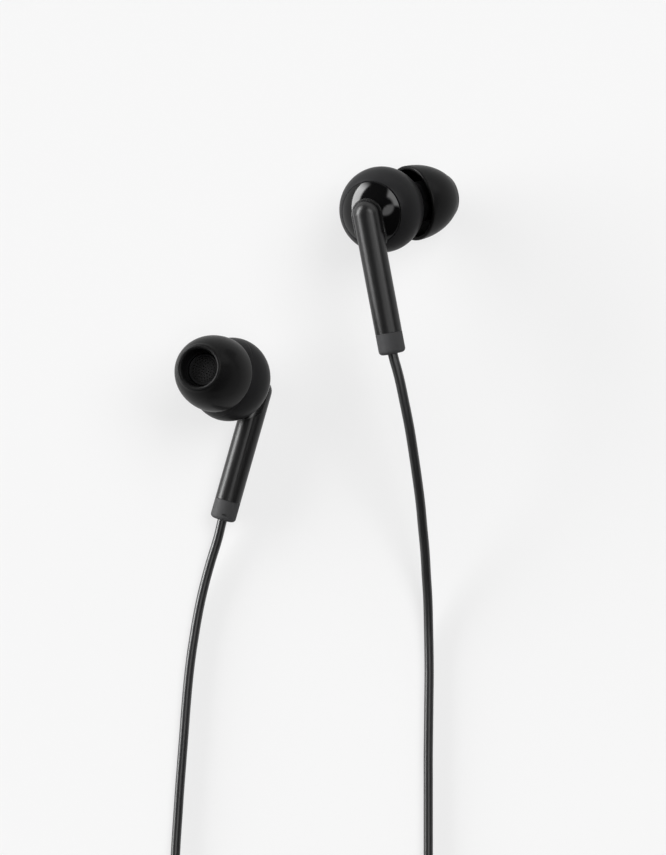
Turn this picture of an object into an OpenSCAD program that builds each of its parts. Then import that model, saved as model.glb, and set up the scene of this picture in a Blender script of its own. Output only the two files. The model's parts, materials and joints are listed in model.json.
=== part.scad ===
// Wired in-ear earphones: two mirrored buds on a Y-shaped cord that ends in a 3.5 mm stereo plug.
// Millimetres, +Z up. The set lies on the plane z = 0, and the origin is on that plane, below the
// middle of the two buds.
//
// Each bud is drawn in its own frame: the origin is the middle of the round body, +Z runs through the
// body towards the ear, the stem hangs towards -Y, and the nozzle leans towards +X. The right bud is
// the mirror image of the left one.

/* [Body] */
// Radius of the round body, across its axis
body_r = 6.75; // [6.55:0.05:7.15]
// Depth of the round body, along its axis
body_depth = 12.4; // [12:0.1:13.1]
// Wall of the body's two shells
shell_wall = 0.8; // [0.6:0.05:0.9]
// Distance of the seam between the shells from the body's middle, towards the ear
seam_z = 1; // [0.6:0.1:1.4]
// Length of the lap where the front shell's tongue enters the back shell
lap_len = 0.8; // [0.5:0.1:1]
// Wall of that tongue
lap_wall = 0.35; // [0.25:0.05:0.4]
// Clearance between pieces that are glued or pressed together, on the radius
fit_gap = 0.05; // [0.02:0.01:0.08]

/* [Outer cap] */
// Radius of the glossy cap
cap_r = 4.85; // [4.7:0.05:5]
// Distance of the cap's flat underside from the body's middle
cap_seat_z = 3.6; // [3.5:0.05:3.7]
// Width of the ledge that the cap sits on
cap_ledge = 0.65; // [0.4:0.05:0.8]
// Thickness of that ledge
cap_ledge_t = 0.6; // [0.4:0.05:0.7]
// Width of the back shell's edge round the cap
cap_edge = 0.1; // [0.05:0.01:0.15]

/* [Stem] */
// Outer radius of the stem
stem_r = 2.1; // [1.95:0.05:2.2]
// Radius of the stem's bore
stem_bore_r = 1.3; // [1.2:0.05:1.4]
// Length of the stem from the middle of its elbow to the sleeve
stem_len = 18.5; // [16:0.1:22]
// Lean of the stem away from the body, in degrees
stem_lean = 5; // [4:0.5:6]
// Outer radius of the neck that carries the stem through the cap
neck_r = 1.95; // [1.8:0.05:2]
// Radius of the neck's flange under the cap
flange_r = 2.8; // [2.5:0.1:3.2]
// Thickness of that flange
flange_t = 0.5; // [0.3:0.05:0.6]
// Wall of the gasket that cradles the stem on the body
gasket_wall = 0.4; // [0.3:0.05:0.5]
// Length of the gasket from the middle of the elbow
gasket_len = 5; // [4.5:0.1:5.2]
// Height of the gasket's edge above the stem's middle, away from the body
gasket_rise = 0.1; // [0:0.05:0.3]

/* [Stem sleeve] */
// Length of the sleeve that shows at the stem's end
sleeve_len = 3.3; // [2.8:0.1:5]
// Rounding of the sleeve's end
sleeve_round = 0.6; // [0.3:0.1:0.8]
// Length of the spigot that holds the sleeve in the stem
spigot_len = 2; // [1.5:0.1:3]

/* [Nozzle] */
// Lean of the nozzle from the body's axis, in degrees
nozzle_lean = 31; // [28:1:34]
// Turn of the nozzle's lean towards the stem, in degrees
nozzle_turn = 4; // [0:1:15]
// Outer radius of the nozzle
nozzle_r = 2.35; // [2.25:0.05:2.45]
// Radius of the nozzle's sound bore
nozzle_bore_r = 1.8; // [1.6:0.05:1.9]
// Distance of the nozzle's mouth from the body's middle
nozzle_end = 11; // [10.7:0.1:11.4]
// Radius of the lip that holds the tip on
lip_r = 2.55; // [2.5:0.01:2.6]
// Length of that lip
lip_len = 1; // [0.8:0.1:1.2]
// Radius of the collar that the tip's tube rests on
collar_r = 3.3; // [3:0.1:3.5]
// Distance of the collar's face from the body's middle
collar_face = 6.9; // [6.8:0.05:7.2]

/* [Nozzle mesh and damper] */
// Radius of the mesh disc
mesh_r = 2.05; // [2:0.05:2.1]
// Thickness of the mesh disc
mesh_t = 0.25; // [0.15:0.05:0.4]
// Radius of one hole of the mesh
mesh_hole_r = 0.16; // [0.1:0.01:0.18]
// Thickness of the acoustic damper
damper_t = 0.6; // [0.4:0.1:1]

/* [Ear tip] */
// Largest radius of the silicone tip
tip_r = 6; // [5.5:0.1:6.5]
// Length of the tip from its rim to its nose
tip_len = 7.1; // [6.9:0.1:7.4]
// Distance of the tip's rim from the body's middle
tip_rim_z = 6; // [5.8:0.1:6.2]
// Wall of the tip's skirt
tip_wall = 0.6; // [0.5:0.05:0.7]
// Radius of the hole in the tip's nose
tip_hole_r = 2.9; // [2.8:0.05:3]
// Radius of the rolled bead round that hole
tip_bead_r = 0.2; // [0.15:0.01:0.22]
// Radius of the tip where its skirt turns over into the nose
tip_turn_r = 3.8; // [3.75:0.05:3.9]
// Distance of that turn behind the nose
tip_turn_z = 0.5; // [0.45:0.05:0.6]
// Rounding of that turn
tip_round = 0.35; // [0.3:0.05:0.35]
// Outer radius of the tube that grips the nozzle
tip_tube_r = 3.25; // [3.1:0.05:3.3]
// Running clearance between the tip's bore and the nozzle's lip, on the radius
tip_gap = 0.05; // [0.02:0.01:0.08]

/* [Driver] */
// Outer radius of the driver
driver_r = 4.9; // [4.8:0.05:5]
// Distance of the driver's front face from the body's middle
driver_front = 2.2; // [2.1:0.05:2.3]
// Depth of the driver's frame
frame_depth = 2.8; // [2.6:0.1:3]
// Wall of the driver's frame
frame_wall = 0.4; // [0.3:0.05:0.5]
// Outer radius of the yoke
yoke_r = 3.4; // [3.3:0.05:3.5]
// Wall of the yoke
yoke_wall = 0.45; // [0.4:0.05:0.5]
// Depth of the yoke
yoke_depth = 2.6; // [2.5:0.05:2.7]
// Thickness of the magnet
magnet_t = 1.3; // [1.2:0.05:1.4]
// Radius of the magnet and of the top plate
magnet_r = 2.25; // [2.1:0.05:2.3]
// Thickness of the top plate
plate_t = 0.6; // [0.5:0.05:0.7]
// Middle radius of the voice coil
coil_r = 2.6; // [2.58:0.01:2.62]
// Wall of the voice coil
coil_wall = 0.24; // [0.2:0.02:0.28]
// Height of the voice coil
coil_h = 1.5; // [1.3:0.1:1.6]
// Radius of the diaphragm
diaphragm_r = 4.2; // [4:0.05:4.3]
// Thickness of the diaphragm's film
film_t = 0.1; // [0.08:0.01:0.12]
// Room between the diaphragm and its seat, and above it under the cover
travel_room = 0.25; // [0.22:0.01:0.28]
// Greatest travel of the diaphragm each way
cone_travel = 0.15; // [0.05:0.01:0.2]
// Thickness of the driver's perforated cover
cover_t = 0.2; // [0.15:0.01:0.22]
// Thickness of the terminal board
board_t = 0.4; // [0.3:0.05:0.5]
// Radius of the terminal board
board_r = 2.7; // [2.4:0.1:3]
// Radius of one lead wire
wire_r = 0.18; // [0.12:0.01:0.2]

/* [Cord] */
// Diameter of the two branch cords
branch_d = 1.55; // [1.5:0.05:1.6]
// Diameter of the main cord
main_d = 2; // [1.9:0.05:2.1]
// Outer radius of the crimp on the cord's end inside the stem
crimp_r = 1.15; // [1.1:0.05:1.2]
// Length of that crimp
crimp_len = 2; // [1.5:0.1:2.5]
// Distance of the cord's end from the elbow's middle, along the stem
cord_end = 3.5; // [3:0.1:4.5]

/* [Coils] */
// Middle diameter of the left branch's coil
left_coil_d = 17.2; // [16.8:0.1:17.4]
// Middle diameter of the right branch's coil
right_coil_d = 15.6; // [15.5:0.1:15.8]
// Middle diameter of the main cord's coil
main_coil_d = 22.6; // [22:0.1:22.8]
// Turns side by side in each coil
coil_columns = 3; // [3]
// Layers of turns in a branch's coil
branch_layers = 2; // [2]
// Layers of turns in the main coil
main_layers = 4; // [4]
// Thickness of the ties round the coils
tie_t = 0.4; // [0.3:0.05:0.5]
// Width of the ties
tie_w = 3.2; // [2.5:0.1:5]

/* [Splitter] */
// Width of the splitter
splitter_w = 6.4; // [6:0.1:8]
// Length of the splitter
splitter_len = 11; // [10:0.1:11.5]
// Thickness of the splitter, both halves together
splitter_t = 4; // [3.8:0.1:5]
// Rounding of the splitter's outline
splitter_round = 1.6; // [1:0.1:2]
// Distance between the two branch cords where they enter
splitter_pitch = 2.4; // [2.3:0.1:2.6]
// How far a cord reaches into the splitter
splitter_grip = 3; // [2.5:0.1:3.5]

/* [Plug] */
// Radius of the plug's pin
pin_r = 1.75; // [1.75]
// Radius of the pin's neck, where it passes through the housing's front wall
pin_neck_r = 1.5; // [1.4:0.05:1.6]
// Length of the sleeve contact in front of the housing
contact_len = 6.4; // [6:0.1:6.8]
// Width of each insulating ring
insulator_w = 0.75; // [0.6:0.05:0.9]
// Length of the ring contact
ring_len = 2.2; // [1.8:0.1:2.5]
// Length of the tip contact
point_len = 3.9; // [3.6:0.1:4.2]
// Outer radius of the plug's housing
housing_r = 3; // [2.9:0.05:3.1]
// Wall of the plug's housing
housing_wall = 0.75; // [0.6:0.05:0.8]
// Length of the plug's housing
housing_len = 12; // [11:0.5:16]
// Length of the strain relief behind the housing
relief_len = 8; // [6:0.5:8]

/* [Hidden] */
$fn = 96;

// Where the row's origin lies on the layout plan. The plan's own zero is the middle of the view.
plan_x = -2.23;
plan_y = 13.29;

// Pose of each bud on the plan: turned by these angles, then set down at this place.
left_turn = [-3.3, -49.8, -17.2];
left_place = [-16.45, 7.7];
right_turn = [169.1, 26.2, -171.7];
right_place = [7.65, 34.35];

// Body and cap
body_h = body_depth / 2;
inner_r = body_r - shell_wall;
inner_h = body_h - shell_wall;
cap_bore_r = cap_r + fit_gap;
ledge_r = cap_bore_r - cap_ledge;
arc_steps = 18;

// Stem
elbow_z = -body_h;
sleeve_end = stem_len + sleeve_len;
sleeve_bore_r = branch_d / 2 + fit_gap;
flange_z = -cap_seat_z + fit_gap;

// Nozzle and tip
tongue_r = oval_r(inner_r, inner_h, seam_z) - fit_gap;
lip_chamfer = 0.3;
nozzle_root = 3.4;
collar_root = 5;
mesh_seat = nozzle_end - mesh_t;
tip_bore_r = lip_r + tip_gap;
tip_bead_at = [tip_hole_r + tip_bead_r, tip_len - tip_bead_r];
tip_turn_at = tip_len - tip_turn_z;
tip_reach = tip_turn_at / sqrt(1 - pow(tip_turn_r / tip_r, 2));
tip_turn_angle = atan(tip_r * tip_r * tip_turn_at / (tip_reach * tip_reach * tip_turn_r));
tip_round_at = [tip_turn_r, tip_turn_at] - tip_round * [cos(tip_turn_angle), sin(tip_turn_angle)];
tip_inside_h = tip_turn_at - tip_wall;
tip_steps = 14;
tip_tube_z = collar_face + fit_gap - tip_rim_z;
tip_step_z = nozzle_end + fit_gap - tip_rim_z;
nozzle_dir = [sin(nozzle_lean) * cos(nozzle_turn), -sin(nozzle_lean) * sin(nozzle_turn), cos(nozzle_lean)];

// Driver, counted from its front face at driver_front
frame_back = driver_front - frame_depth;
seat_z = driver_front - cover_t - 3 * travel_room;
diaphragm_z = seat_z + travel_room;
yoke_front = frame_back + 1.2;
yoke_back = yoke_front - yoke_depth;
yoke_floor = yoke_back + yoke_wall + 0.15;
board_back = yoke_back - board_t;
wire_pitch = 0.7;

// Coils, ties, splitter and plug on the plan
coil_lift = tie_t + fit_gap;
left_coil_at = [-15.85, -82.5];
right_coil_at = [6.25, -82.5];
main_coil_at = [8.8, -127];
splitter_at = [-4.5, -105.5];
plug_at = [-12.5, -149.5];
cord_z = splitter_t / 2;
branch_bore_r = branch_d / 2 + fit_gap;
main_bore_r = main_d / 2 + fit_gap;
cavity_w = splitter_w - 1.8;
cavity_t = splitter_t - 1.4;
core_step = 0.3;

// Routes of the cords on the plan, from bud to coil and from coil to splitter or plug
left_route = concat(
    [for (s = [cord_end, stem_len / 2, stem_len, sleeve_end]) stem_point(left_turn, left_place, left_z(), 1, s)],
    [[-18.75, -18, 1.75], [-20, -22, 1.35], [-21.1, -26, 1.05], [-22, -30, 0.85], [-22.7, -34, 0.8],
     [-23.3, -38, 0.8], [-23.75, -42, 0.8], [-24.1, -46, 0.8], [-24.4, -50, 0.8], [-24.75, -54.5, 0.8],
     [-25.1, -59, 0.8], [-25.4, -63.5, 0.8], [-25.7, -68, 0.85], [-25.9, -72.5, 0.95], [-26, -77, 1.1],
     [-26, -82.5, 1.25]]);
left_tail = [[-15.85, -92.65, 2.8], [-12.5, -92.8, 2.7], [-9.3, -93.8, 2.5], [-6.9, -95.9, 2.2],
             [-5.8, -98.5, 2], [-5.7, -100, 2], [-5.7, -103, 2]];
right_route = concat(
    [for (s = [cord_end, stem_len / 2, stem_len, sleeve_end]) stem_point(right_turn, right_place, right_z(), -1, s)],
    [[10.25, 8, 12.95], [11.15, 4, 12.1], [12, 0, 11.05], [12.7, -4, 9.8], [13.35, -8, 8.5],
     [13.95, -12, 7.05], [14.4, -16, 5.6], [14.85, -20, 4.25], [15.15, -24, 3.05], [15.45, -28, 2.05],
     [15.6, -32, 1.3], [15.7, -36, 0.9], [15.75, -40, 0.8], [15.7, -44.5, 0.8], [15.65, -49, 0.8],
     [15.6, -53.5, 0.8], [15.6, -58, 0.8], [15.6, -62.5, 0.8], [15.6, -67, 0.85], [15.6, -72, 0.95],
     [15.6, -77, 1.1], [15.6, -82.5, 1.25]]);
right_tail = [[6.25, -91.85, 2.8], [2.9, -92.1, 2.7], [-0.1, -93.3, 2.5], [-2.3, -95.7, 2.2],
              [-3.2, -98.5, 2], [-3.3, -100, 2], [-3.3, -103, 2]];
main_route = [[-4.5, -108, 2], [-4.5, -111, 2], [-4.5, -116, 1.9], [-4.5, -121, 1.65], [-4.5, -127, 1.5]];
main_tail = [[8.8, -140.3, 7.5], [12.2, -140.3, 7.3], [15.6, -140.9, 6.9], [17.8, -142.9, 6.3],
             [18.2, -145.6, 5.5], [16.8, -148.2, 4.6], [14.2, -149.4, 3.8], [11.5, -149.5, 3.3],
             [9, -149.5, 3], [-1.5, -149.5, 3]];

// Radius of an oval of revolution with radius r and half depth h, at the height z
function oval_r(r, h, z) = r * sqrt(max(0, 1 - z * z / (h * h)));

// Height at which that oval has the radius x
function oval_z(r, h, x) = h * sqrt(1 - x * x / (r * r));

// Points along the oval's outline from the height z0 to z1
function oval_arc(r, h, z0, z1) =
    let (a0 = asin(z0 / h), a1 = asin(z1 / h))
    [for (i = [0 : arc_steps]) let (a = a0 + (a1 - a0) * i / arc_steps) [r * cos(a), h * sin(a)]];

// Points along a round corner from the angle a0 to a1
function arc(centre, r, a0, a1, steps = 8) =
    [for (i = [0 : steps]) let (a = a0 + (a1 - a0) * i / steps) centre + r * [cos(a), sin(a)]];

// A point turned by the three angles of rotate()
function about_x(p, a) = [p.x, p.y * cos(a) - p.z * sin(a), p.y * sin(a) + p.z * cos(a)];
function about_y(p, a) = [p.x * cos(a) + p.z * sin(a), p.y, p.z * cos(a) - p.x * sin(a)];
function about_z(p, a) = [p.x * cos(a) - p.y * sin(a), p.x * sin(a) + p.y * cos(a), p.z];
function turned(p, t) = about_z(about_y(about_x(p, t.x), t.y), t.z);

// Height of a bud that rests on its body: the reach of the turned oval below its middle
function left_z() =
    let (along = turned([0, 0, 1], left_turn).z)
    sqrt(body_r * body_r * (1 - along * along) + body_h * body_h * along * along);

// Height of a bud that rests on its tip: the reach of the tip's nose below the body's middle
function right_z() =
    let (along = turned([-nozzle_dir.x, nozzle_dir.y, nozzle_dir.z], right_turn).z,
         across = sqrt(1 - along * along))
    max(concat(
        [for (p = tip_outline()) across * p.x - along * (p.y + tip_rim_z)],
        [across * tip_bead_at.x + tip_bead_r - along * (tip_rim_z + tip_bead_at.y)]));

// A point on the stem's axis at the distance s from the elbow, on the plan
function stem_point(turn, place, z, side, s) =
    turned([0, -s * cos(stem_lean), elbow_z - s * sin(stem_lean)], turn) + [place.x, place.y, z];

// Points along an upright oval from the rim to the height h: radius and height above the rim
function skirt(r, reach, h) =
    [for (i = [0 : tip_steps]) let (y = h * i / tip_steps) [r * sqrt(1 - y * y / (reach * reach)), y]];

// Outline of the tip's outside, from its rim over the turn into the nose
function tip_outline() = concat(
    skirt(tip_r, tip_reach, tip_turn_at),
    arc(tip_round_at, tip_round, tip_turn_angle, 130));

// Frame of a ring across a cord that runs on the whole level
function ring_points(route, i, r, sides) =
    let (a = route[max(0, i - 1)], b = route[min(len(route) - 1, i + 1)],
         t = (b - a) / norm(b - a),
         n = cross([0, 0, 1], t) / norm(cross([0, 0, 1], t)),
         m = cross(t, n))
    [for (k = [0 : sides - 1]) let (q = 360 * (k + 0.5) / sides) route[i] + r * (cos(q) * n + sin(q) * m)];

// ---------------------------------------------------------------- placing

module on_plan() {
    translate([-plan_x, -plan_y, 0]) children();
}

module left_bud() {
    on_plan() translate([left_place.x, left_place.y, left_z()]) rotate(left_turn) children();
}

module right_bud() {
    on_plan() translate([right_place.x, right_place.y, right_z()]) rotate(right_turn)
        mirror([1, 0, 0]) children();
}

// Draws along the stem: z is counted from the elbow's middle
module along_stem() {
    translate([0, 0, elbow_z]) rotate([90 + stem_lean, 0, 0]) children();
}

// Draws along the nozzle: z is counted from the body's middle
module along_nozzle() {
    rotate([0, nozzle_lean, -nozzle_turn]) children();
}

// Draws along the plug: z is counted from the housing's front face, towards the plug's tip
module along_plug() {
    on_plan() translate([plug_at.x, plug_at.y, housing_r]) rotate([0, -90, 0]) children();
}

// ---------------------------------------------------------------- shared shapes

module tube(r, bore_r, h) {
    rotate_extrude() translate([bore_r, 0]) square([r - bore_r, h]);
}

// Solid of the body's outline, grown by the given amount
module body_oval(grow) {
    rotate_extrude() polygon(oval_arc(body_r + grow, body_h + grow, -body_h - grow, body_h + grow));
}

// Outside of the stem with its round elbow and neck, grown by the given amount
module stem_outside(grow) {
    along_stem() rotate_extrude()
        polygon(concat(arc([0, 0], stem_r + grow, -90, 0, 12), [[stem_r + grow, stem_len], [0, stem_len]]));
    translate([0, 0, elbow_z]) cylinder(r = neck_r + grow, h = -elbow_z + flange_z);
}

// Straight rod between two points
module rod(a, b, r) {
    d = b - a;
    translate(a) rotate([0, acos(d.z / norm(d)), atan2(d.y, d.x)]) cylinder(r = r, h = norm(d));
}

// Cord along a route of points
module cord(route, d) {
    sides = 8;
    rings = len(route);
    points = [for (i = [0 : rings - 1]) each ring_points(route, i, d / 2, sides)];
    walls = [for (i = [0 : rings - 2], k = [0 : sides - 1])
        let (a = i * sides + k, b = i * sides + (k + 1) % sides) [a, a + sides, b + sides, b]];
    ends = [[for (k = [0 : sides - 1]) k], [for (k = [sides - 1 : -1 : 0]) (rings - 1) * sides + k]];
    polyhedron(points, concat(walls, ends), convexity = 4);
}

// Outer shape of a wound coil
module wound_coil(middle_d, d, layers) {
    half_w = coil_columns * d / 2;
    height = layers * d;
    bevel = d / 3;
    translate([0, 0, coil_lift]) rotate_extrude() translate([middle_d / 2, 0])
        polygon([[-half_w + bevel, 0], [half_w - bevel, 0], [half_w, bevel], [half_w, height - bevel],
                 [half_w - bevel, height], [-half_w + bevel, height], [-half_w, height - bevel],
                 [-half_w, bevel]]);
}

// Strap round a coil, at the given angle
module coil_tie(middle_d, d, layers, angle) {
    half_w = coil_columns * d / 2 + fit_gap;
    height = layers * d + fit_gap;
    sweep = tie_w / (middle_d / 2) * 180 / PI;
    rotate([0, 0, angle - sweep / 2]) rotate_extrude(angle = sweep) translate([middle_d / 2, 0]) difference() {
        translate([-half_w - tie_t, 0]) square([2 * (half_w + tie_t), coil_lift + height + tie_t]);
        translate([-half_w, tie_t]) square([2 * half_w, fit_gap + height]);
    }
}

// ---------------------------------------------------------------- casing of a bud

// Glossy domed cap, cut out for the stem and its gasket
module outer_cap() {
    rim_z = oval_z(body_r, body_h, cap_r);
    color([0.02, 0.02, 0.02]) difference() {
        rotate_extrude() polygon(concat(
            oval_arc(body_r, body_h, -body_h, -rim_z),
            [[cap_r, -cap_seat_z], [0, -cap_seat_z]]));
        stem_outside(fit_gap);
    }
}

// Cradle between the stem and the body: the half of a close sleeve round the stem that faces the body
module stem_gasket() {
    outer_r = stem_r + gasket_wall;
    color([0.06, 0.06, 0.06]) difference() {
        along_stem() intersection() {
            rotate_extrude() polygon(concat(
                arc([0, 0], outer_r, -90, 0, 12), [[outer_r, gasket_len], [0, gasket_len]]));
            translate([-outer_r, -gasket_rise, -outer_r])
                cube([2 * outer_r, outer_r + gasket_rise, outer_r + gasket_len]);
        }
        body_oval(fit_gap / 2);
        stem_outside(fit_gap / 2);
    }
}

// Rear half of the body, with the ledge that the cap sits on
module back_shell() {
    rim_r = cap_bore_r + cap_edge;
    ledge_z = -cap_seat_z + cap_ledge_t;
    color([0.04, 0.04, 0.04]) rotate_extrude() polygon(concat(
        oval_arc(body_r, body_h, -oval_z(body_r, body_h, rim_r), seam_z),
        oval_arc(inner_r, inner_h, seam_z, ledge_z),
        [[ledge_r, ledge_z], [ledge_r, -cap_seat_z], [cap_bore_r, -cap_seat_z],
         [cap_bore_r, -oval_z(body_r, body_h, rim_r)]]));
}

// Ear-side half of the body, with the nozzle, its collar and its lip
module front_shell() {
    ledge_front = driver_front + 0.7;
    tongue_inner = tongue_r - lap_wall;
    color([0.04, 0.04, 0.04]) difference() {
        union() {
            rotate_extrude() polygon(concat(
                oval_arc(body_r, body_h, seam_z, body_h),
                oval_arc(inner_r, inner_h, inner_h, ledge_front),
                [[driver_r - 0.6, ledge_front], [driver_r - 0.6, driver_front], [tongue_inner, driver_front],
                 [tongue_inner, seam_z - lap_len], [tongue_r, seam_z - lap_len], [tongue_r, seam_z]]));
            along_nozzle() rotate_extrude() polygon([
                [0, collar_root], [collar_r, collar_root], [collar_r, collar_face], [nozzle_r, collar_face],
                [nozzle_r, nozzle_end - lip_len - lip_chamfer], [lip_r, nozzle_end - lip_len],
                [lip_r, nozzle_end - lip_chamfer], [lip_r - lip_chamfer / 2, nozzle_end], [0, nozzle_end]]);
        }
        along_nozzle() translate([0, 0, nozzle_root]) cylinder(r = nozzle_bore_r, h = nozzle_end);
        along_nozzle() translate([0, 0, mesh_seat]) cylinder(r = mesh_r + fit_gap, h = nozzle_end);
    }
}

// Perforated disc in the nozzle's mouth: one hole in the middle and two rings of holes
module nozzle_mesh() {
    color([0.04, 0.04, 0.04]) along_nozzle() translate([0, 0, mesh_seat]) difference() {
        cylinder(r = mesh_r, h = mesh_t);
        for (ring = [0 : 2], i = [0 : max(1, 6 * ring) - 1])
            rotate([0, 0, 360 * i / max(1, 6 * ring)]) translate([ring * mesh_r / 3.2, 0, -mesh_t])
                cylinder(r = mesh_hole_r, h = 3 * mesh_t);
    }
}

// Acoustic damper in the nozzle's bore, behind the mesh
module damper() {
    color([0.05, 0.05, 0.05]) along_nozzle() translate([0, 0, mesh_seat - damper_t])
        cylinder(r = nozzle_bore_r - fit_gap, h = damper_t);
}

// ---------------------------------------------------------------- stem

// Hollow stem with a round elbow, and a neck whose flange holds it under the cap
module stem() {
    color([0.05, 0.05, 0.05]) difference() {
        union() {
            stem_outside(0);
            translate([0, 0, flange_z]) cylinder(r = flange_r, h = flange_t);
        }
        along_stem() rotate_extrude()
            polygon(concat(arc([0, 0], stem_bore_r, -90, 0, 12), [[stem_bore_r, stem_len + 1], [0, stem_len + 1]]));
        translate([0, 0, elbow_z]) cylinder(r = stem_bore_r - core_step, h = body_h);
    }
}

// Soft sleeve at the stem's end, where the cord leaves
module stem_sleeve() {
    spigot_r = stem_bore_r - fit_gap;
    color([0.1, 0.1, 0.1]) along_stem() rotate_extrude() polygon(concat(
        [[sleeve_bore_r, stem_len - spigot_len], [spigot_r, stem_len - spigot_len], [spigot_r, stem_len],
         [stem_r, stem_len]],
        arc([stem_r - sleeve_round, sleeve_end - sleeve_round], sleeve_round, 0, 90),
        [[sleeve_bore_r, sleeve_end]]));
}

// Crimp round the cord's end, inside the stem
module cord_crimp() {
    color([0.7, 0.55, 0.3]) along_stem() translate([0, 0, cord_end + 0.5]) tube(crimp_r, sleeve_bore_r, crimp_len);
}

// Two lead wires from the cord's end through the neck to the terminal board
module lead_wires() {
    for (side = [-1, 1]) color(side > 0 ? [0.7, 0.3, 0.1] : [0.1, 0.5, 0.2]) {
        x = side * wire_pitch / 2;
        foot = [x, -cord_end * cos(stem_lean), elbow_z - cord_end * sin(stem_lean)];
        bend = [x, 0, elbow_z];
        rod(foot, bend, wire_r);
        translate(bend) sphere(r = wire_r * 1.1);
        rod(bend, [x, 0, board_back], wire_r);
    }
}

// ---------------------------------------------------------------- ear tip

// Silicone tip: a tube that grips the nozzle, and a skirt that turns back from its nose
module ear_tip() {
    inside = skirt(tip_r - tip_wall, tip_reach - tip_wall, tip_inside_h);
    color([0.03, 0.03, 0.03]) along_nozzle() translate([0, 0, tip_rim_z]) rotate_extrude() polygon(concat(
        tip_outline(),
        arc(tip_bead_at, tip_bead_r, -45, 180),
        [[tip_hole_r, tip_step_z], [tip_bore_r, tip_step_z], [tip_bore_r, tip_tube_z], [tip_tube_r, tip_tube_z],
         [tip_tube_r, tip_inside_h]],
        [for (i = [tip_steps : -1 : 0]) inside[i]]));
}

// ---------------------------------------------------------------- driver

// Basket of the driver: a floor round the yoke with vent holes, a wall, and the diaphragm's seat
module driver_frame() {
    floor_t = 0.4;
    vents = 8;
    vent_r = 0.3;
    color([0.75, 0.75, 0.72]) difference() {
        rotate_extrude() polygon([
            [yoke_r + fit_gap, frame_back], [driver_r, frame_back], [driver_r, driver_front],
            [driver_r - frame_wall, driver_front], [driver_r - frame_wall, seat_z], [diaphragm_r - 0.4, seat_z],
            [diaphragm_r - 0.4, seat_z - 0.25], [driver_r - frame_wall, seat_z - 0.4],
            [driver_r - frame_wall, frame_back + floor_t], [yoke_r + fit_gap, frame_back + floor_t]]);
        for (i = [0 : vents - 1]) rotate([0, 0, 360 * i / vents])
            translate([(yoke_r + driver_r - frame_wall) / 2, 0, frame_back - 1]) cylinder(r = vent_r, h = 1 + floor_t * 1.5);
    }
}

// Steel cup of the magnet circuit
module yoke() {
    color([0.6, 0.6, 0.62]) rotate_extrude() polygon([
        [0, yoke_back], [yoke_r, yoke_back], [yoke_r, yoke_front], [yoke_r - yoke_wall, yoke_front],
        [yoke_r - yoke_wall, yoke_floor], [0, yoke_floor]]);
}

// Disc magnet on the yoke's floor
module magnet() {
    color([0.7, 0.7, 0.72]) translate([0, 0, yoke_floor]) cylinder(r = magnet_r, h = magnet_t);
}

// Pole plate on the magnet
module top_plate() {
    color([0.65, 0.65, 0.67]) translate([0, 0, yoke_floor + magnet_t]) cylinder(r = magnet_r, h = plate_t);
}

// Film with a dome in the middle and a rolled surround
module diaphragm() {
    dome_r = coil_r + coil_wall / 2 + 0.1;
    dome_h = 2 * travel_room - cone_travel - fit_gap - film_t;
    roll = (diaphragm_r - dome_r) / 2;
    color([0.8, 0.75, 0.55]) translate([0, 0, diaphragm_z]) rotate_extrude() polygon(concat(
        [for (i = [0 : 8]) let (a = 90 * i / 8) [dome_r * sin(a), film_t + dome_h * cos(a)]],
        [for (i = [1 : 8]) let (a = 180 * i / 8) [dome_r + roll - roll * cos(a), film_t + dome_h * sin(a)]],
        [for (i = [8 : -1 : 0]) let (a = 180 * i / 8) [dome_r + roll - roll * cos(a), dome_h * sin(a)]],
        [[coil_r - coil_wall / 2 - 0.1, 0]],
        [for (i = [6 : -1 : 0]) let (a = 90 * i / 8) [dome_r * sin(a), dome_h * cos(a)]]));
}

// Coil of fine wire that hangs from the diaphragm in the magnet's gap
module voice_coil() {
    color([0.75, 0.4, 0.2]) translate([0, 0, diaphragm_z - coil_h])
        tube(coil_r + coil_wall / 2, coil_r - coil_wall / 2, coil_h);
}

// Perforated cover in front of the diaphragm
module driver_cover() {
    holes = 8;
    hole_r = 0.35;
    color([0.7, 0.7, 0.7]) translate([0, 0, driver_front - cover_t]) difference() {
        cylinder(r = driver_r - frame_wall - fit_gap, h = cover_t);
        for (i = [0 : holes - 1]) rotate([0, 0, 360 * i / holes]) translate([driver_r / 2, 0, -cover_t])
            cylinder(r = hole_r, h = 3 * cover_t);
        translate([0, 0, -cover_t]) cylinder(r = hole_r, h = 3 * cover_t);
    }
}

// Solder board on the back of the yoke
module terminal_board() {
    color([0.1, 0.4, 0.2]) translate([0, 0, board_back]) cylinder(r = board_r, h = board_t);
}

// ---------------------------------------------------------------- cord set

module branch_cord(route, tail) {
    color([0.06, 0.06, 0.06]) on_plan() {
        cord(route, branch_d);
        cord(tail, branch_d);
    }
}

module main_cord() {
    color([0.06, 0.06, 0.06]) on_plan() {
        cord(main_route, main_d);
        cord(main_tail, main_d);
    }
}

module left_cord() { branch_cord(left_route, left_tail); }

module right_cord() { branch_cord(right_route, right_tail); }

module coil_on_plan(at, middle_d, d, layers) {
    color([0.07, 0.07, 0.07]) on_plan() translate([at.x, at.y, 0]) wound_coil(middle_d, d, layers);
}

module tie_on_plan(at, middle_d, d, layers, angles) {
    color([0.15, 0.15, 0.16]) on_plan() translate([at.x, at.y, 0])
        for (angle = angles) coil_tie(middle_d, d, layers, angle);
}

module left_cord_coil() { coil_on_plan(left_coil_at, left_coil_d, branch_d, branch_layers); }

module right_cord_coil() { coil_on_plan(right_coil_at, right_coil_d, branch_d, branch_layers); }

module main_cord_coil() { coil_on_plan(main_coil_at, main_coil_d, main_d, main_layers); }

module left_coil_tie() { tie_on_plan(left_coil_at, left_coil_d, branch_d, branch_layers, [60]); }

module right_coil_tie() { tie_on_plan(right_coil_at, right_coil_d, branch_d, branch_layers, [120]); }

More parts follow.
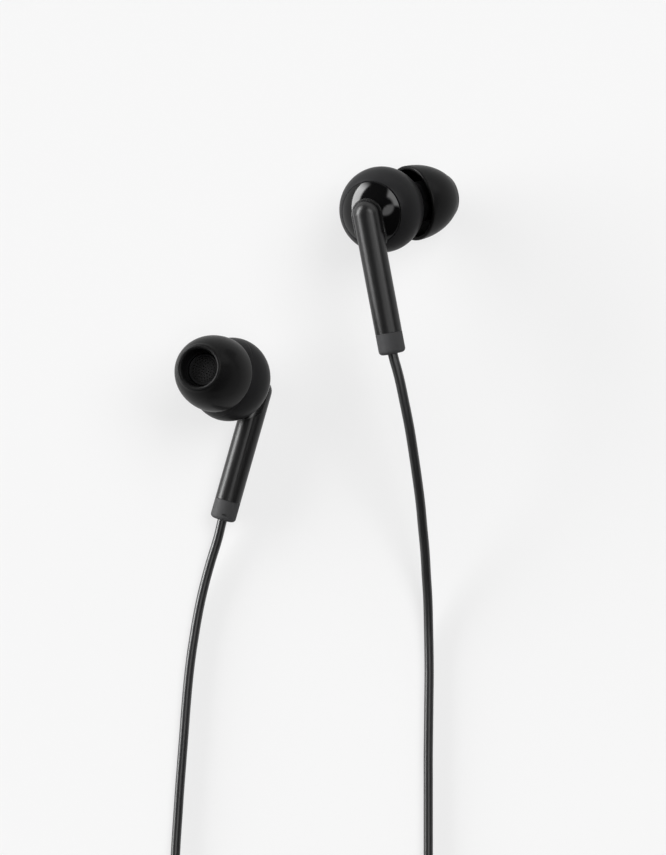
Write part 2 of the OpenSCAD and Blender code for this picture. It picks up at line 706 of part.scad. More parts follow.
module main_coil_ties() { tie_on_plan(main_coil_at, main_coil_d, main_d, main_layers, [80, -20]); }

// ---------------------------------------------------------------- splitter

// One half of the splitter: a rounded block with the cords' channels and a cavity for the crimp
module splitter_half(low, high) {
    inner_w = splitter_w / 2 - splitter_round;
    inner_l = splitter_len / 2 - splitter_round;
    color([0.05, 0.05, 0.05]) on_plan() translate([splitter_at.x, splitter_at.y, 0]) difference() {
        translate([0, 0, low]) linear_extrude(high - low) {
            for (x = [-inner_w, inner_w], y = [-inner_l, inner_l]) translate([x, y]) circle(r = splitter_round);
            square([splitter_w, 2 * inner_l], center = true);
            square([2 * inner_w, splitter_len], center = true);
        }
        for (x = [-1, 1]) translate([x * splitter_pitch / 2, 0, cord_z]) rotate([-90, 0, 0])
            cylinder(r = branch_bore_r, h = splitter_len);
        translate([0, 0, cord_z]) rotate([90, 0, 0]) cylinder(r = main_bore_r, h = splitter_len);
        translate([0, 0, cord_z])
            cube([cavity_w, splitter_len - 2 * splitter_grip + 2, cavity_t], center = true);
    }
}

module splitter_bottom() { splitter_half(0, cord_z); }

module splitter_top() { splitter_half(cord_z, splitter_t); }

// Crimp that joins the wires of the three cords
module splitter_crimp() {
    color([0.7, 0.55, 0.3]) on_plan() translate([splitter_at.x, splitter_at.y, cord_z])
        cube([cavity_w - 2 * fit_gap, splitter_len - 2 * splitter_grip, cavity_t - 2 * fit_gap], center = true);
}

// ---------------------------------------------------------------- plug

// Moulded housing, hollow inside for the contacts' ends
module plug_housing() {
    edge = 0.4;
    color([0.05, 0.05, 0.05]) along_plug() rotate_extrude() polygon([
        [pin_neck_r + fit_gap, 0], [housing_r - edge, 0], [housing_r, -edge], [housing_r, edge - housing_len],
        [housing_r - edge, -housing_len], [main_bore_r, -housing_len], [main_bore_r, -housing_len + 1],
        [housing_r - housing_wall, -housing_len + 1], [housing_r - housing_wall, -housing_wall],
        [pin_neck_r + fit_gap, -housing_wall]]);
}

// Tapered strain relief with grooves round it
module plug_relief() {
    grooves = 4;
    pitch = relief_len / (grooves + 1);
    thick = 2.3;
    thin = 1.6;
    deep = 0.25;
    color([0.08, 0.08, 0.08]) along_plug() translate([0, 0, -housing_len - relief_len]) rotate_extrude()
        polygon(concat(
            [[main_bore_r, relief_len], [main_bore_r, 0], [thin, 0]],
            [for (i = [1 : grooves], step = [[-0.3, 0], [-0.15, -deep], [0.15, -deep], [0.3, 0]])
                let (z = i * pitch + step.x) [thin + (thick - thin) * z / relief_len + step.y, z]],
            [[thick, relief_len]]));
}

// Sleeve contact, with a neck through the housing's front wall and a collar behind it
module plug_sleeve_contact() {
    collar_len = 4;
    collar_r = 2.2;
    bore_r = 1.15;
    color([0.85, 0.68, 0.35]) along_plug() rotate_extrude() polygon([
        [bore_r, -collar_len - housing_wall], [collar_r, -collar_len - housing_wall], [collar_r, -housing_wall],
        [pin_neck_r, -housing_wall], [pin_neck_r, 0], [pin_r, 0], [pin_r, contact_len], [bore_r, contact_len]]);
}

// Tube and ring that keep the sleeve contact from the ring contact
module plug_outer_insulator() {
    color([0.03, 0.03, 0.03]) along_plug() rotate_extrude() polygon([
        [0.95, -5.5], [1.1, -5.5], [1.1, contact_len], [pin_r, contact_len],
        [pin_r, contact_len + insulator_w], [0.95, contact_len + insulator_w]]);
}

// Ring contact, with its tube
module plug_ring_contact() {
    start = contact_len + insulator_w;
    color([0.85, 0.68, 0.35]) along_plug() rotate_extrude() polygon([
        [0.7, -6.5], [0.9, -6.5], [0.9, start], [pin_r, start], [pin_r, start + ring_len], [0.7, start + ring_len]]);
}

// Tube and ring that keep the ring contact from the tip contact
module plug_inner_insulator() {
    start = contact_len + insulator_w + ring_len;
    color([0.03, 0.03, 0.03]) along_plug() rotate_extrude() polygon([
        [0.5, -7], [0.65, -7], [0.65, start], [pin_r, start], [pin_r, start + insulator_w],
        [0.5, start + insulator_w]]);
}

// Tip contact, with the rod that runs back into the housing
module plug_tip_contact() {
    start = contact_len + 2 * insulator_w + ring_len;
    rod_r = 0.45;
    waist_r = 1.15;
    bulb_r = 1.6;
    color([0.85, 0.68, 0.35]) along_plug() rotate_extrude() polygon([
        [0, -8], [rod_r, -8], [rod_r, start], [pin_r, start], [pin_r, start + 0.4],
        [waist_r, start + 1], [waist_r, start + 1.2], [bulb_r, start + 1.9],
        [bulb_r * 0.96, start + 2.3], [0.6, start + point_len - 0.2], [0.35, start + point_len], [0, start + point_len]]);
}

// ---------------------------------------------------------------- the nodes

left_bud() outer_cap();  // left_outer_cap
left_bud() stem_gasket();  // left_stem_gasket
left_bud() back_shell();  // left_back_shell
left_bud() front_shell();  // left_front_shell
left_bud() nozzle_mesh();  // left_nozzle_mesh
left_bud() damper();  // left_damper
left_bud() driver_frame();  // left_driver_frame
left_bud() yoke();  // left_yoke
left_bud() magnet();  // left_magnet
left_bud() top_plate();  // left_top_plate
left_bud() diaphragm();  // left_diaphragm
left_bud() voice_coil();  // left_voice_coil
left_bud() driver_cover();  // left_driver_cover
left_bud() terminal_board();  // left_terminal_board
left_bud() lead_wires();  // left_lead_wires
left_bud() cord_crimp();  // left_cord_crimp
left_bud() stem();  // left_stem
left_bud() stem_sleeve();  // left_stem_sleeve
left_bud() ear_tip();  // left_ear_tip
right_bud() outer_cap();  // right_outer_cap
right_bud() stem_gasket();  // right_stem_gasket
right_bud() back_shell();  // right_back_shell
right_bud() front_shell();  // right_front_shell
right_bud() nozzle_mesh();  // right_nozzle_mesh
right_bud() damper();  // right_damper
right_bud() driver_frame();  // right_driver_frame
right_bud() yoke();  // right_yoke
right_bud() magnet();  // right_magnet
right_bud() top_plate();  // right_top_plate
right_bud() diaphragm();  // right_diaphragm
right_bud() voice_coil();  // right_voice_coil
right_bud() driver_cover();  // right_driver_cover
right_bud() terminal_board();  // right_terminal_board
right_bud() lead_wires();  // right_lead_wires
right_bud() cord_crimp();  // right_cord_crimp
right_bud() stem();  // right_stem
right_bud() stem_sleeve();  // right_stem_sleeve
right_bud() ear_tip();  // right_ear_tip
left_cord();
left_cord_coil();
left_coil_tie();
right_cord();
right_cord_coil();
right_coil_tie();
splitter_top();
splitter_bottom();
splitter_crimp();
main_cord();
main_cord_coil();
main_coil_ties();
plug_housing();
plug_relief();
plug_sleeve_contact();
plug_outer_insulator();
plug_ring_contact();
plug_inner_insulator();
plug_tip_contact();
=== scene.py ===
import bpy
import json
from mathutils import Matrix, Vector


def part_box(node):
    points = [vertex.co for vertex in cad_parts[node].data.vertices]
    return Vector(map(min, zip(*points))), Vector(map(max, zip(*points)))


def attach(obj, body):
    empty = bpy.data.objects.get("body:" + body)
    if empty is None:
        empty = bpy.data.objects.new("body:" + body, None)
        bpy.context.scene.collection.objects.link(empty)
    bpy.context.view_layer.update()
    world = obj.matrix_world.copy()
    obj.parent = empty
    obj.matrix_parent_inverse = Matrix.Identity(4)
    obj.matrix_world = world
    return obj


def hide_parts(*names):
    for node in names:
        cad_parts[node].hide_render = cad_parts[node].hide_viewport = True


bl_info = {
    "name": "Wired Earphones",
    "version": (1, 0, 0),
    "blender": (4, 5, 0),
    "location": "View3D > Sidebar > Earphones",
    "description": "Models and finishes the pieces of a pair of wired earphones round its packed frame",
    "category": "Object",
}

import json
import math

import bmesh
import bpy
from bpy.props import FloatProperty, FloatVectorProperty, IntProperty, PointerProperty
from mathutils import Matrix, Vector

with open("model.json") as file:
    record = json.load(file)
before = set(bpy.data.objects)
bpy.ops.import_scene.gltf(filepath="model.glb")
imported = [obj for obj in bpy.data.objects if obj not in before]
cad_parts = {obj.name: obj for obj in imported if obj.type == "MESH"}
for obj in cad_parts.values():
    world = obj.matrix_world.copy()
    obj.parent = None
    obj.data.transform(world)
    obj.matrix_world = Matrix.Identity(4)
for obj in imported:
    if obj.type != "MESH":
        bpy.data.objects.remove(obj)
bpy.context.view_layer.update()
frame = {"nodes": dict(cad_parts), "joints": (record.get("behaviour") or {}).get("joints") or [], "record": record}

MM = 0.001
SIDES = ("left", "right")
ROUND_STEPS = 96
FINE_STEPS = 128
MERGE = 2e-7
SMOOTH_ANGLE = math.radians(32)

# The layout plan's zero is the middle of the view. This is where the set's origin lies on it.
PLAN = Vector((-0.00223, 0.01329, 0))

JOINT_AXIS = {joint["name"]: Vector(joint["axis"]) for joint in frame["joints"]}
SLOT_COLOUR = {slot["slot"]: slot["base_color"] for slot in frame["record"]["materials"]}


# ---------------------------------------------------------------- sizes and colours


def length(name, description, millimetres):
    """A size in the scene's metres, with its default given in millimetres."""
    return FloatProperty(
        name=name, description=description, default=millimetres * MM, min=0, precision=5, unit="LENGTH"
    )


def turn(name, description, degrees):
    """An angle, with its default given in degrees."""
    return FloatProperty(name=name, description=description, default=math.radians(degrees), subtype="ANGLE")


def colour(name, description, value):
    """A colour, in linear values."""
    return FloatVectorProperty(
        name=name, description=description, default=value, size=3, min=0, max=1, subtype="COLOR"
    )


def level(name, description, value):
    """A plain number, such as a light's level."""
    return FloatProperty(name=name, description=description, default=value, min=0)


class BudSizes(bpy.types.PropertyGroup):
    """Sizes of a bud's casing and stem"""

    body_radius: length("Body radius", "Radius of the round body, across its axis", 6.75)
    body_depth: length("Body depth", "Depth of the round body, along its axis", 12.4)
    shell_wall: length("Shell wall", "Wall of the body's two shells", 0.8)
    seam_height: length("Seam height", "Distance of the seam from the body's middle", 1)
    lap_length: length("Lap length", "Length of the lap inside the seam", 0.8)
    lap_wall: length("Lap wall", "Wall of the front shell's tongue", 0.35)
    fit_gap: length("Fit gap", "Clearance between pieces that are pressed together", 0.05)
    edge_round: length("Edge rounding", "Rounding of the casing's edges", 0.05)
    cap_radius: length("Cap radius", "Radius of the glossy cap", 4.85)
    cap_seat: length("Cap seat", "Distance of the cap's underside from the body's middle", 3.6)
    cap_ledge: length("Cap ledge", "Width of the ledge that the cap sits on", 0.65)
    cap_ledge_depth: length("Ledge depth", "Thickness of that ledge", 0.6)
    cap_edge: length("Cap edge", "Width of the back shell's edge round the cap", 0.1)
    driver_radius: length("Driver radius", "Radius of the driver's seat in the front shell", 4.9)
    driver_front: length("Driver front", "Distance of the driver's front from the body's middle", 2.2)
    driver_ledge: length("Driver ledge", "Width of the ledge in front of the driver", 0.6)
    driver_ledge_depth: length("Driver ledge depth", "Thickness of that ledge", 0.7)
    stem_radius: length("Stem radius", "Outer radius of the stem", 2.1)
    stem_bore: length("Stem bore", "Radius of the stem's bore", 1.3)
    stem_length: length("Stem length", "Length of the stem from its elbow to the sleeve", 18.5)
    stem_lean: turn("Stem lean", "Lean of the stem away from the body", 5)
    neck_radius: length("Neck radius", "Radius of the neck that goes through the cap", 1.95)
    flange_radius: length("Flange radius", "Radius of the flange under the cap", 2.8)
    flange_depth: length("Flange depth", "Thickness of that flange", 0.5)
    gasket_wall: length("Gasket wall", "Wall of the thin cradle between the stem and the body", 0.4)
    gasket_length: length("Gasket length", "Length of that cradle from the elbow's middle", 5)
    gasket_end: length("Gasket end", "Where the cradle's edge ends, from the elbow's middle", 3)
    gasket_rise: length("Gasket rise", "How far the cradle's edge stands above the stem's middle", 0.1)
    gasket_edge: length("Gasket rounding", "Rounding of the cradle's edge", 0.12)
    sleeve_length: length("Sleeve length", "Length of the sleeve at the stem's end", 3.3)
    sleeve_round: length("Sleeve rounding", "Rounding of the sleeve's end", 0.6)
    spigot_length: length("Spigot length", "Length of the spigot that holds the sleeve", 2)


class NozzleSizes(bpy.types.PropertyGroup):
    """Sizes of the nozzle and its grille"""

    lean: turn("Lean", "Lean of the nozzle from the body's axis", 31)
    turn: turn("Turn", "Turn of that lean towards the stem", 4)
    radius: length("Radius", "Outer radius of the nozzle", 2.35)
    bore: length("Bore", "Radius of the sound bore", 1.8)
    root: length("Root", "Where the bore starts, from the body's middle", 3.4)
    end: length("End", "Distance of the mouth from the body's middle", 11)
    lip_radius: length("Lip radius", "Radius of the lip that holds the tip on", 2.55)
    lip_length: length("Lip length", "Length of that lip", 1)
    lip_slope: length("Lip slope", "Length of the slope behind the lip", 0.3)
    collar_radius: length("Collar radius", "Radius of the collar that the tip rests on", 3.3)
    collar_root: length("Collar root", "Where the collar starts, inside the shell", 5)
    collar_face: length("Collar face", "Distance of the collar's face from the body's middle", 6.9)
    grille_radius: length("Grille radius", "Radius of the perforated grille", 2.05)
    grille_depth: length("Grille depth", "Thickness of the grille", 0.25)
    hole_radius: length("Hole radius", "Radius of one hole of the grille", 0.11)
    hole_pitch: length("Hole pitch", "Distance between the grille's rings of holes", 0.44)
    hole_rings: IntProperty(name="Hole rings", description="Rings of holes", default=4, min=1, max=6)


class TipSizes(bpy.types.PropertyGroup):
    """Sizes of the silicone ear tip"""

    radius: length("Radius", "Largest radius of the tip, at its rim", 6)
    height: length("Height", "Length from the rim to the nose", 7.1)
    rim: length("Rim", "Distance of the rim from the body's middle, along the nozzle", 6)
    wall: length("Wall", "Wall of the skirt", 0.6)
    hole: length("Hole", "Radius of the hole in the nose", 2.9)
    bead: length("Bead", "Rounding of the lip round the hole", 0.4)
    turn_radius: length("Turn radius", "Radius at which the skirt turns in to the nose", 3.8)
    turn_depth: length("Turn depth", "Distance of that turn below the nose", 0.5)
    tube: length("Tube", "Outer radius of the tube that grips the nozzle", 3.25)
    gap: length("Gap", "Running clearance round the nozzle", 0.05)


class CordSizes(bpy.types.PropertyGroup):
    """Sizes of the cords, their coils and the ties"""

    branch_diameter: length("Branch diameter", "Diameter of the two branch cords", 1.55)
    main_diameter: length("Main diameter", "Diameter of the main cord", 2)
    branch_length: length("Branch length", "Length of each branch cord", 385)
    main_length: length("Main length", "Length of the main cord", 854)
    cord_end: length("Cord end", "Distance of the cord's end from the elbow, in the stem", 3.5)
    columns: IntProperty(name="Columns", description="Turns side by side in a coil", default=3, min=1)
    branch_layers: IntProperty(name="Branch layers", description="Layers of a branch's coil", default=2)
    main_layers: IntProperty(name="Main layers", description="Layers of the main coil", default=4)
    blend: turn("Blend", "Part of a turn in which the cord moves over to the next one", 60)
    tie_thickness: length("Tie thickness", "Thickness of a tie's strap", 0.4)
    tie_width: length("Tie width", "Width of a tie's strap", 3.2)
    tie_gap: length("Tie gap", "Clearance between a strap and its coil", 0.05)


class SplitterSizes(bpy.types.PropertyGroup):
    """Sizes of the splitter"""

    corner: length("Corner", "Rounding of the outline's corners", 1.6)
    edge: length("Edge", "Rounding of the top and bottom edges", 0.55)
    pitch: length("Pitch", "Distance between the two branch cords", 2.4)
    parting: length("Parting line", "Rounding of the edges where the halves meet", 0.07)
    wall: length("Wall", "Wall at each side of the cavity", 0.9)
    roof: length("Roof", "Wall above and below the cavity", 0.7)
    grip: length("Grip", "How far a cord reaches in", 3)


class PlugSizes(bpy.types.PropertyGroup):
    """Sizes of the plug"""

    pin_radius: length("Pin radius", "Radius of the pin", 1.75)
    neck_radius: length("Neck radius", "Radius of the pin inside the housing's front", 1.5)
    sleeve: length("Sleeve contact", "Length of the sleeve contact", 6.4)
    insulator: length("Insulator", "Width of each insulating ring", 0.75)
    ring: length("Ring contact", "Length of the ring contact", 2.2)
    point: length("Tip contact", "Length of the tip contact", 3.9)
    housing_radius: length("Housing radius", "Radius of the housing", 3)
    housing_wall: length("Housing wall", "Wall of the housing", 0.75)
    housing_length: length("Housing length", "Length of the housing", 12)
    relief_length: length("Relief length", "Length of the strain relief", 8)


class Colours(bpy.types.PropertyGroup):
    """Colours of the finishes that show"""

    cap: colour("Cap", "Polished cap", (0.002, 0.002, 0.0021))
    shell: colour("Shell", "Satin body shells", SLOT_COLOUR["satin_shell"])
    stem: colour("Stem", "Satin stem", (0.006, 0.006, 0.0061))
    gasket: colour("Gasket", "Cradle round the stem", (0.006, 0.006, 0.006))
    sleeve: colour("Sleeve", "Matte sleeve at the stem's end", (0.04, 0.04, 0.041))
    silicone: colour("Silicone", "Ear tip", (0.0035, 0.0035, 0.0036))
    cord: colour("Cord", "Cord jacket", SLOT_COLOUR["cord_jacket"])
    grille: colour("Grille", "Black coated grille", SLOT_COLOUR["mesh_steel"])
    gold: colour("Gold", "Contacts", SLOT_COLOUR["gold_contact"])
    tie: colour("Tie", "Hook-and-loop straps", SLOT_COLOUR["tie_fabric"])


class StageLevels(bpy.types.PropertyGroup):
    """Floor, light and camera"""

    floor_size: length("Floor size", "Radius of the floor", 20000)
    floor_drop: length("Floor drop", "Distance of the floor below the set", 0.05)
    floor_colour: level("Floor colour", "Grey of the floor", 0.2)
    floor_glow: level("Floor glow", "Level that the floor adds where it is seen", 0.665)
    background: level("Background", "Level of the pale surroundings at the horizon", 0.913)
    dark: level("Dark", "Level of the room above the lamps", 0.035)
    key: level("Key", "Level of the low soft box on the left", 20)
    fill: level("Fill", "Level of the soft box on the right", 6.5)
    strip: level("Strip", "Level of the narrow lamp overhead", 3.5)
    back: level("Back", "Level of the low soft box at the back", 2.2)
    camera_height: length("Camera height", "Height of the camera above the floor", 250)
    lens: FloatProperty(name="Lens", description="Focal length in millimetres", default=64.07)
    sensor: FloatProperty(name="Sensor", description="Sensor size in millimetres", default=36)


# ---------------------------------------------------------------- outlines and shapes


def arc(radius, height, size, start, end, steps=10):
    """Points of a round stretch of an outline, about (radius, height), its angles in degrees."""
    turns = [math.radians(start + (end - start) * step / steps) for step in range(steps + 1)]
    return [(radius + size * math.cos(a), height + size * math.sin(a)) for a in turns]


def oval_height(radius, depth, at):
    """Half height of an oval of revolution at a distance from its axis."""
    return depth * math.sqrt(max(0, 1 - (at / radius) ** 2))


def oval_arc(radius, depth, start, end, steps=28):
    """Points along the outline of an oval of revolution, from one height to another."""
    first, last = math.asin(start / depth), math.asin(end / depth)
    turns = [first + (last - first) * step / steps for step in range(steps + 1)]
    return [(radius * max(0, math.cos(a)), depth * math.sin(a)) for a in turns]


def revolve(outline, closed=False, steps=ROUND_STEPS):
    """A shape made by turning an outline of (radius, height) points round the Z axis."""
    shape = bmesh.new()
    points = [shape.verts.new((radius, 0, height)) for radius, height in outline]
    if closed:
        points.append(points[0])
    edges = [shape.edges.new(pair) for pair in zip(points, points[1:])]
    bmesh.ops.spin(
        shape, geom=list(shape.verts) + edges, cent=(0, 0, 0), axis=(0, 0, 1),
        angle=math.tau, steps=steps, use_merge=True,
    )
    bmesh.ops.remove_doubles(shape, verts=shape.verts, dist=MERGE)
    bmesh.ops.recalc_face_normals(shape, faces=shape.faces)
    return shape


def rod(radius, start, end, steps=ROUND_STEPS):
    """A plain round rod along Z."""
    return revolve([(0, start), (radius, start), (radius, end), (0, end)], steps=steps)


def round_edges(shape, edges, width, segments, clamp=False):
    """Rounds the given edges of a shape."""
    bmesh.ops.bevel(
        shape, geom=edges, offset=width, affect="EDGES", segments=segments, profile=0.5,
        material=-1, clamp_overlap=clamp,
    )


def soften(shape, width, sharper_than=35, segments=3):
    """Rounds the edges of a shape that are sharper than an angle in degrees."""
    limit = math.radians(sharper_than)
    edges = [edge for edge in shape.edges if edge.is_manifold and edge.calc_face_angle(0) > limit]
    round_edges(shape, edges, width, segments, clamp=True)
    return shape


def placed(shape, matrix):
    """The shape moved by a matrix, with its faces outwards again if that mirrors it."""
    bmesh.ops.transform(shape, matrix=matrix, verts=shape.verts)
    if matrix.determinant() < 0:
        bmesh.ops.reverse_faces(shape, faces=shape.faces)
    return shape


def boolean(shape, other, operation):
    """The first shape joined with the second one, or cut by it."""
    holders = []
    for part in (shape, other):
        mesh = bpy.data.meshes.new("part")
        part.to_mesh(mesh)
        part.free()
        holders.append(bpy.data.objects.new("part", mesh))
        bpy.context.scene.collection.objects.link(holders[-1])
    modifier = holders[0].modifiers.new("boolean", "BOOLEAN")
    modifier.operation = operation
    modifier.solver = "EXACT"
    modifier.object = holders[1]
    result = bmesh.new()
    result.from_object(holders[0], bpy.context.evaluated_depsgraph_get())
    for holder in holders:
        mesh = holder.data
        bpy.data.objects.remove(holder)
        bpy.data.meshes.remove(mesh)
    bmesh.ops.remove_doubles(result, verts=result.verts, dist=MERGE)
    return result


def joined(shape, other):
    """Both shapes as one solid."""
    return boolean(shape, other, "UNION")


def cut(shape, other):
    """The first shape without the room that the second one takes."""
    return boolean(shape, other, "DIFFERENCE")


def trimmed(shape, point, direction):
    """Takes off what lies past a plane, on the side it faces, and closes the cut. Gives the cut's edges."""
    made = bmesh.ops.bisect_plane(
        shape, geom=list(shape.verts) + list(shape.edges) + list(shape.faces), dist=MERGE,
        plane_co=point, plane_no=direction, clear_outer=True,
    )
    rim = [part for part in made["geom_cut"] if isinstance(part, bmesh.types.BMEdge)]
    bmesh.ops.edgeloop_fill(shape, edges=rim)
    bmesh.ops.recalc_face_normals(shape, faces=shape.faces)
    return rim


def link_piece(name, data, finish, nodes, body):
    """Makes an object that has a finish and its slot, stands for CAD nodes and rides on a body."""
    data.materials.append(bpy.data.materials[finish])
    piece = bpy.data.objects.new(name, data)
    bpy.context.scene.collection.objects.link(piece)
    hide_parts(*nodes)
    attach(piece, body)
    return piece


def add_piece(name, shape, finish, *nodes, body="headset"):
    """Makes a piece of a shape in the set's frame, and lets the shape go."""
    mesh = bpy.data.meshes.new(name)
    shape.to_mesh(mesh)
    shape.free()
    mesh.shade_smooth()
    mesh.set_sharp_from_angle(angle=SMOOTH_ANGLE)
    return link_piece(name, mesh, finish, nodes, body)


def add_line(name, points, radius, finish, *nodes):
    """Makes a round cord through points in the set's frame."""
    curve = bpy.data.curves.new(name, "CURVE")
    curve.dimensions = "3D"
    curve.resolution_u = 3
    curve.bevel_depth = radius
    curve.bevel_resolution = 6
    curve.use_fill_caps = True
    spline = curve.splines.new("BEZIER")
    spline.bezier_points.add(len(points) - 1)
    for knot, point in zip(spline.bezier_points, points):
        knot.co = point
        knot.handle_left_type = knot.handle_right_type = "AUTO"
    return link_piece(name, curve, finish, nodes, "headset")


# ---------------------------------------------------------------- places


def middle_of(node):
    """The middle of a CAD node's box."""
    low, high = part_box(node)
    return (low + high) / 2


def bud_place(side, nozzle):
    """Matrix from a bud's own frame to the set's frame. The right bud is the mirror image of the left.

    A bud's origin is the middle of its body, +Z runs towards the ear and the stem hangs towards -Y."""
    magnet_from_middle = 0.75 * MM
    mirror = 1 if side == "left" else -1
    ear = JOINT_AXIS[f"{side}_cone_travel"]
    mouth = JOINT_AXIS[f"{side}_tip_pull"]
    lean = (mouth - mouth.dot(ear) * ear).normalized()
    across = mirror * ear.cross(lean)
    x_axis = math.cos(nozzle.turn) * lean + math.sin(nozzle.turn) * across
    y_axis = math.cos(nozzle.turn) * across - math.sin(nozzle.turn) * lean
    axes = Matrix((x_axis, y_axis, ear)).transposed().to_4x4()
    return Matrix.Translation(middle_of(f"{side}_magnet") + magnet_from_middle * ear) @ axes


def along_nozzle(nozzle):
    """Matrix that lays +Z along the nozzle, in the bud's frame."""
    return Matrix.Rotation(-nozzle.turn, 4, "Z") @ Matrix.Rotation(nozzle.lean, 4, "Y")


def along_stem(sizes):
    """Matrix that lays +Z along the stem from the elbow's middle, in the bud's frame."""
    elbow = Matrix.Translation((0, 0, -sizes.body_depth / 2))
    return elbow @ Matrix.Rotation(math.pi / 2 + sizes.stem_lean, 4, "X")


# ---------------------------------------------------------------- finishes


def add_node(tree, kind, values=None, **settings):
    """A node with its settings and the default values of its inputs."""
    node = tree.nodes.new(kind)
    for name, value in settings.items():
        setattr(node, name, value)
    for name, value in (values or {}).items():
        node.inputs[name].default_value = value
    return node


def link_sockets(tree, *links):
    """Joins pairs of sockets in a node tree."""
    for start, end in links:
        tree.links.new(start, end)


def new_group(name, inputs, outputs):
    """An empty shader node group with named sockets, and its input and output nodes."""
    group = bpy.data.node_groups.new(name, "ShaderNodeTree")
    for label, kind, value in inputs:
        socket = group.interface.new_socket(name=label, in_out="INPUT", socket_type=f"NodeSocket{kind}")
        socket.default_value = value
    for label, kind in outputs:
        group.interface.new_socket(name=label, in_out="OUTPUT", socket_type=f"NodeSocket{kind}")
    return group, group.nodes.new("NodeGroupInput"), group.nodes.new("NodeGroupOutput")


def moulded_group():
    """Group for moulded surfaces: fine grain, and a slow drift of gloss and tone."""
    group, given, result = new_group(
        "Moulded surface",
        [
            ("Colour", "Color", (0.5, 0.5, 0.5, 1)),
            ("Tone spread", "Float", 0.1),
            ("Roughness", "Float", 0.4),
            ("Roughness spread", "Float", 0.05),
            ("Grain scale", "Float", 6000),
            ("Grain depth", "Float", 0.00001),
            ("Drift scale", "Float", 220),
        ],
        [("Colour", "Color"), ("Roughness", "Float"), ("Normal", "Vector")],
    )
    place = add_node(group, "ShaderNodeTexCoord")
    grain = add_node(group, "ShaderNodeTexNoise", {"Detail": 2})
    drift = add_node(group, "ShaderNodeTexNoise", {"Detail": 4, "Roughness": 0.6})
    bump = add_node(group, "ShaderNodeBump")
    centred = add_node(group, "ShaderNodeMath", {1: 0.5}, operation="SUBTRACT")
    gloss = add_node(group, "ShaderNodeMath", operation="MULTIPLY_ADD")
    tone = add_node(group, "ShaderNodeMath", {2: 1}, operation="MULTIPLY_ADD")
    shade = add_node(group, "ShaderNodeHueSaturation")
    link_sockets(
        group,
        (place.outputs["Object"], grain.inputs["Vector"]),
        (place.outputs["Object"], drift.inputs["Vector"]),
        (given.outputs["Grain scale"], grain.inputs["Scale"]),
        (given.outputs["Drift scale"], drift.inputs["Scale"]),
        (grain.outputs["Fac"], bump.inputs["Height"]),
        (given.outputs["Grain depth"], bump.inputs["Distance"]),
        (drift.outputs["Fac"], centred.inputs[0]),
        (centred.outputs[0], gloss.inputs[0]),
        (given.outputs["Roughness spread"], gloss.inputs[1]),
        (given.outputs["Roughness"], gloss.inputs[2]),
        (centred.outputs[0], tone.inputs[0]),
        (given.outputs["Tone spread"], tone.inputs[1]),
        (tone.outputs[0], shade.inputs["Value"]),
        (given.outputs["Colour"], shade.inputs["Color"]),
        (shade.outputs["Color"], result.inputs["Colour"]),
        (gloss.outputs[0], result.inputs["Roughness"]),
        (bump.outputs["Normal"], result.inputs["Normal"]),
    )
    return group


def soft_box_group():
    """Group for the surroundings: a soft-edged bright window round a direction, with its level."""
    group, given, result = new_group(
        "Soft box",
        [
            ("Azimuth", "Float", 0),
            ("Elevation", "Float", 0),
            ("Half width", "Float", 0.5),
            ("Half height", "Float", 0.3),
            ("Side softness", "Float", 0.1),
            ("Softness", "Float", 0.1),
            ("Level", "Float", 1),
        ],
        [("Level", "Float")],
    )
    place = add_node(group, "ShaderNodeTexCoord")
    axes = add_node(group, "ShaderNodeSeparateXYZ")
    bearing = add_node(group, "ShaderNodeMath", operation="ARCTAN2")
    rise = add_node(group, "ShaderNodeMath", operation="ARCSINE")
    link_sockets(
        group,
        (place.outputs["Generated"], axes.inputs[0]),
        (axes.outputs["Y"], bearing.inputs[0]),
        (axes.outputs["X"], bearing.inputs[1]),
        (axes.outputs["Z"], rise.inputs[0]),
    )
    masks = []
    for angle, centre, half, softness in (
        (bearing, "Azimuth", "Half width", "Side softness"),
        (rise, "Elevation", "Half height", "Softness"),
    ):
        offset = add_node(group, "ShaderNodeMath", operation="SUBTRACT")
        wrapped = add_node(group, "ShaderNodeMath", {1: math.pi, 2: -math.pi}, operation="WRAP")
        size = add_node(group, "ShaderNodeMath", operation="ABSOLUTE")
        outer = add_node(group, "ShaderNodeMath", operation="ADD")
        fade = add_node(
            group, "ShaderNodeMapRange", {"To Min": 1, "To Max": 0}, interpolation_type="SMOOTHSTEP"
        )
        link_sockets(
            group,
            (angle.outputs[0], offset.inputs[0]),
            (given.outputs[centre], offset.inputs[1]),
            (offset.outputs[0], wrapped.inputs[0]),
            (wrapped.outputs[0], size.inputs[0]),
            (size.outputs[0], fade.inputs["Value"]),
            (given.outputs[half], fade.inputs["From Min"]),
            (given.outputs[half], outer.inputs[0]),
            (given.outputs[softness], outer.inputs[1]),
            (outer.outputs[0], fade.inputs["From Max"]),
        )
        masks.append(fade)
    both = add_node(group, "ShaderNodeMath", operation="MULTIPLY")
    lit = add_node(group, "ShaderNodeMath", operation="MULTIPLY")
    link_sockets(
        group,
        (masks[0].outputs[0], both.inputs[0]),
        (masks[1].outputs[0], both.inputs[1]),
        (both.outputs[0], lit.inputs[0]),
        (given.outputs["Level"], lit.inputs[1]),
        (lit.outputs[0], result.inputs["Level"]),
    )
    return group


